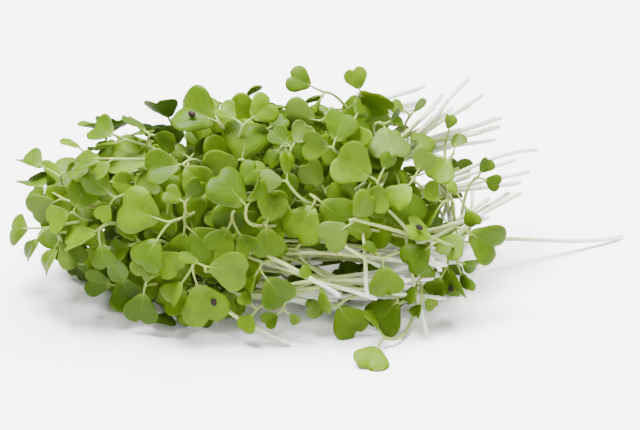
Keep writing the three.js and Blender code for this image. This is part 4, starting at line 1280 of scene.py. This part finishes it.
class GreensColours(bpy.types.PropertyGroup):
    leaf_green: colour_setting("Leaf green", "Colour of most blades", (0.07, 0.135, 0.001))
    leaf_young: colour_setting("Young leaf", "Colour of the lightest blades", (0.115, 0.2, 0.002))
    # Deep green serves for darker blades and patches, and also as painted shade on blades low at the left
    # end.
    deep_green_and_painted_shade: colour_setting("Deep green", "Patches of deeper green", (0.035, 0.075, 0.001))
    leaf_glow: colour_setting("Leaf glow", "Light that comes through a blade", (0.15, 0.28, 0.001))
    underside: colour_setting("Underside", "Greyer green of a blade's lower face", (0.1, 0.16, 0.02))
    vein: colour_setting("Veins", "Rib, veins and base of a blade", (0.17, 0.26, 0.03))
    stem_white: colour_setting("Stem white", "Stem near its cut end", (0.86, 0.88, 0.82))
    stem_pale: colour_setting("Stem pale", "Middle of a stem", (0.42, 0.5, 0.17))
    stem_green: colour_setting("Stem green", "Stem near the leaves", (0.19, 0.28, 0.025))
    hull_dark: colour_setting("Hull dark", "Skin of a seed hull", (0.01, 0.006, 0.004))
    hull_light: colour_setting("Hull light", "Spots on a seed hull", (0.035, 0.02, 0.014))
    floor: colour_setting("Floor", "Pale floor", (0.92, 0.92, 0.92))


class GREENS_OT_sprays(bpy.types.Operator):
    """Model every spray: a piece of green stems and seed leaves and a piece of pale stems"""

    bl_idname = "greens.add_sprays"
    bl_label = "Add sprays"

    def execute(self, context):
        sizes = context.scene.greens_sizes
        for spray in settled_heap()[0]:
            random = random_source(SPRAY_LOOK_SEED + spray.number)
            green_piece = Piece(f"{spray.name}_foliage", greens_materials())
            pale_piece = Piece(f"{spray.name}_bundle", greens_materials())
            for index, seedling in enumerate(spray.seedlings):
                add_seedling(green_piece, pale_piece, spray, seedling, index, sizes, random)
            green_piece.build([f"{spray.name}_leaves"])
            pale_piece.build([f"{spray.name}_stems"])
        return {"FINISHED"}


class GREENS_OT_filling(bpy.types.Operator):
    """Model the seedlings that fill the heap between the sprays"""

    bl_idname = "greens.add_filling"
    bl_label = "Add filling seedlings"

    def execute(self, context):
        sizes = context.scene.greens_sizes
        for number, (name, rows) in enumerate(filling_heap().items()):
            random = random_source(FILLING_LOOK_SEED + number)
            piece = Piece(f"{name}_filling", greens_materials())
            for index, (spray, seedling) in enumerate(rows):
                place = index + len(spray.seedlings) if spray.seedlings else 0
                add_seedling(piece, piece, spray, seedling, place, sizes, random)
            if piece.parts:
                piece.build()
        return {"FINISHED"}


def hull_skin(place):
    """How far out a hull's skin lies at a unit place, with its seam and wrinkles."""
    seam = math.exp(-((place[2] / SEAM_WIDTH) ** 2)) * max(0.0, place[0] + SEAM_START)
    wrinkle = WRINKLE_DEPTH * math.sin(9 * place[0] + 5 * place[1]) * math.sin(7 * place[1] - 6 * place[2])
    return 1 - SEAM_DEPTH * seam + wrinkle


def hull_mesh(name, leaf, along, across):
    """A seed hull just above one place of a blade."""
    clear = HULL_LEAF_THICKNESS / 2 + HULL_GAP + HULL_SIZE * HULL_RISE
    centre = leaf.points(along, across, clear)
    bm = bmesh.new()
    bmesh.ops.create_icosphere(bm, subdivisions=HULL_DETAIL, radius=HULL_SIZE / 2)
    for corner in bm.verts:
        shape = np.array(corner.co) * HULL_SHAPE * hull_skin(unit(np.array(corner.co)))
        spot = centre + shape[0] * leaf.along + shape[1] * leaf.across + shape[2] * leaf.normal
        corner.co = Vector((spot - ORIGIN) * MM)
    for face in bm.faces:
        face.smooth = True
    mesh = bpy.data.meshes.new(name)
    bm.to_mesh(mesh)
    bm.free()
    return mesh


class GREENS_OT_seed_hulls(bpy.types.Operator):
    """Model the empty seed hulls that cling to seed leaves"""

    bl_idname = "greens.add_seed_hulls"
    bl_label = "Add seed hulls"

    def execute(self, context):
        material = hull_material(context.scene.greens_colours)
        sprays = {spray.name: spray for spray in settled_heap()[0]}
        for name, spray_name, head, side, along, across in SEED_HULLS:
            leaf = sprays[spray_name].seedlings[head].head.leaves[side]
            mesh = hull_mesh(f"{name}_shell", leaf, along, across)
            mesh.materials.append(material)
            hull = bpy.data.objects.new(f"{name}_shell", mesh)
            context.scene.collection.objects.link(hull)
            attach(hull, "root")
            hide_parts(name)
        return {"FINISHED"}


# The stage: the middle of the picture and the lens in millimetres, and the rest in metres. Each
# light has its place, size and power in watts.
VIEW_CENTRE_UP = 21
VIEW_CENTRE_DEPTH = -25
LENS = 200
SENSOR_WIDTH = 36
PICTURE_WIDTH = 0.192
FLOOR_SIZE = 6
FLOOR_DROP = 0.0002
WORLD_LIGHT = 0.42
LIGHT_AIM = (-0.02, 0, 0.03)
LIGHTS = [
    ("key", (-0.25, 0.02, 0.85), 0.35, 36),
    ("top", (0.2, 0.25, 0.8), 0.5, 24),
    ("front", (0.25, -0.9, 0.5), 0.5, 6),
]


class GREENS_OT_stage(bpy.types.Operator):
    """Add the pale floor, the soft studio lights and the camera"""

    bl_idname = "greens.add_stage"
    bl_label = "Add stage"

    def execute(self, context):
        self.add_floor(context)
        self.add_world(context)
        for light in LIGHTS:
            self.add_light(context, *light)
        self.add_camera(context)
        return {"FINISHED"}

    def add_floor(self, context):
        bm = bmesh.new()
        bmesh.ops.create_grid(bm, x_segments=1, y_segments=1, size=FLOOR_SIZE / 2)
        bmesh.ops.translate(bm, verts=bm.verts[:], vec=(0, 0, -FLOOR_DROP))
        mesh = bpy.data.meshes.new("floor")
        bm.to_mesh(mesh)
        bm.free()
        mesh.materials.append(floor_material(context.scene.greens_colours))
        floor = bpy.data.objects.new("floor", mesh)
        context.scene.collection.objects.link(floor)

    def add_world(self, context):
        world = bpy.data.worlds.new("studio")
        world.use_nodes = True
        background = world.node_tree.nodes["Background"]
        background.inputs["Color"].default_value = (1, 1, 1, 1)
        background.inputs["Strength"].default_value = WORLD_LIGHT
        context.scene.world = world

    def add_light(self, context, name, place, size, power):
        data = bpy.data.lights.new(name, "AREA")
        data.size = size
        data.energy = power
        light = bpy.data.objects.new(name, data)
        light.location = place
        aim = Vector(LIGHT_AIM) - Vector(place)
        light.rotation_euler = aim.to_track_quat("-Z", "Y").to_euler()
        context.scene.collection.objects.link(light)

    def add_camera(self, context):
        sine, cosine = math.sin(VIEW_ELEVATION), math.cos(VIEW_ELEVATION)
        y = VIEW_CENTRE_DEPTH * cosine + VIEW_CENTRE_UP * sine
        z = -VIEW_CENTRE_DEPTH * sine + VIEW_CENTRE_UP * cosine
        target = Vector((np.array([0, y, z]) - ORIGIN) * MM)
        data = bpy.data.cameras.new("camera")
        data.lens = LENS
        data.sensor_width = SENSOR_WIDTH
        distance = PICTURE_WIDTH * LENS / SENSOR_WIDTH
        camera = bpy.data.objects.new("camera", data)
        camera.location = target + Vector(TOWARD_VIEWER) * distance
        camera.rotation_euler = (-Vector(TOWARD_VIEWER)).to_track_quat("-Z", "Y").to_euler()
        context.scene.collection.objects.link(camera)
        context.scene.camera = camera


class GREENS_PT_panel(bpy.types.Panel):
    """The heap's pieces, sizes and colours"""

    bl_label = "Mustard greens"
    bl_idname = "GREENS_PT_panel"
    bl_space_type = "VIEW_3D"
    bl_region_type = "UI"
    bl_category = "Greens"

    def draw(self, context):
        layout = self.layout
        for operator in OPERATORS:
            layout.operator(operator.bl_idname)
        for group in (context.scene.greens_sizes, context.scene.greens_colours):
            for setting in group.__annotations__:
                layout.prop(group, setting)


OPERATORS = (GREENS_OT_stage, GREENS_OT_sprays, GREENS_OT_filling, GREENS_OT_seed_hulls)
CLASSES = (GreensSizes, GreensColours, *OPERATORS, GREENS_PT_panel)


def register():
    for each in CLASSES:
        bpy.utils.register_class(each)
    bpy.types.Scene.greens_sizes = bpy.props.PointerProperty(type=GreensSizes)
    bpy.types.Scene.greens_colours = bpy.props.PointerProperty(type=GreensColours)


def unregister():
    del bpy.types.Scene.greens_colours
    del bpy.types.Scene.greens_sizes
    for each in reversed(CLASSES):
        bpy.utils.unregister_class(each)


def main():
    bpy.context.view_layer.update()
    register()
    bpy.ops.greens.add_stage()
    bpy.ops.greens.add_sprays()
    bpy.ops.greens.add_filling()
    bpy.ops.greens.add_seed_hulls()


if __name__ == "__main__":
    main()
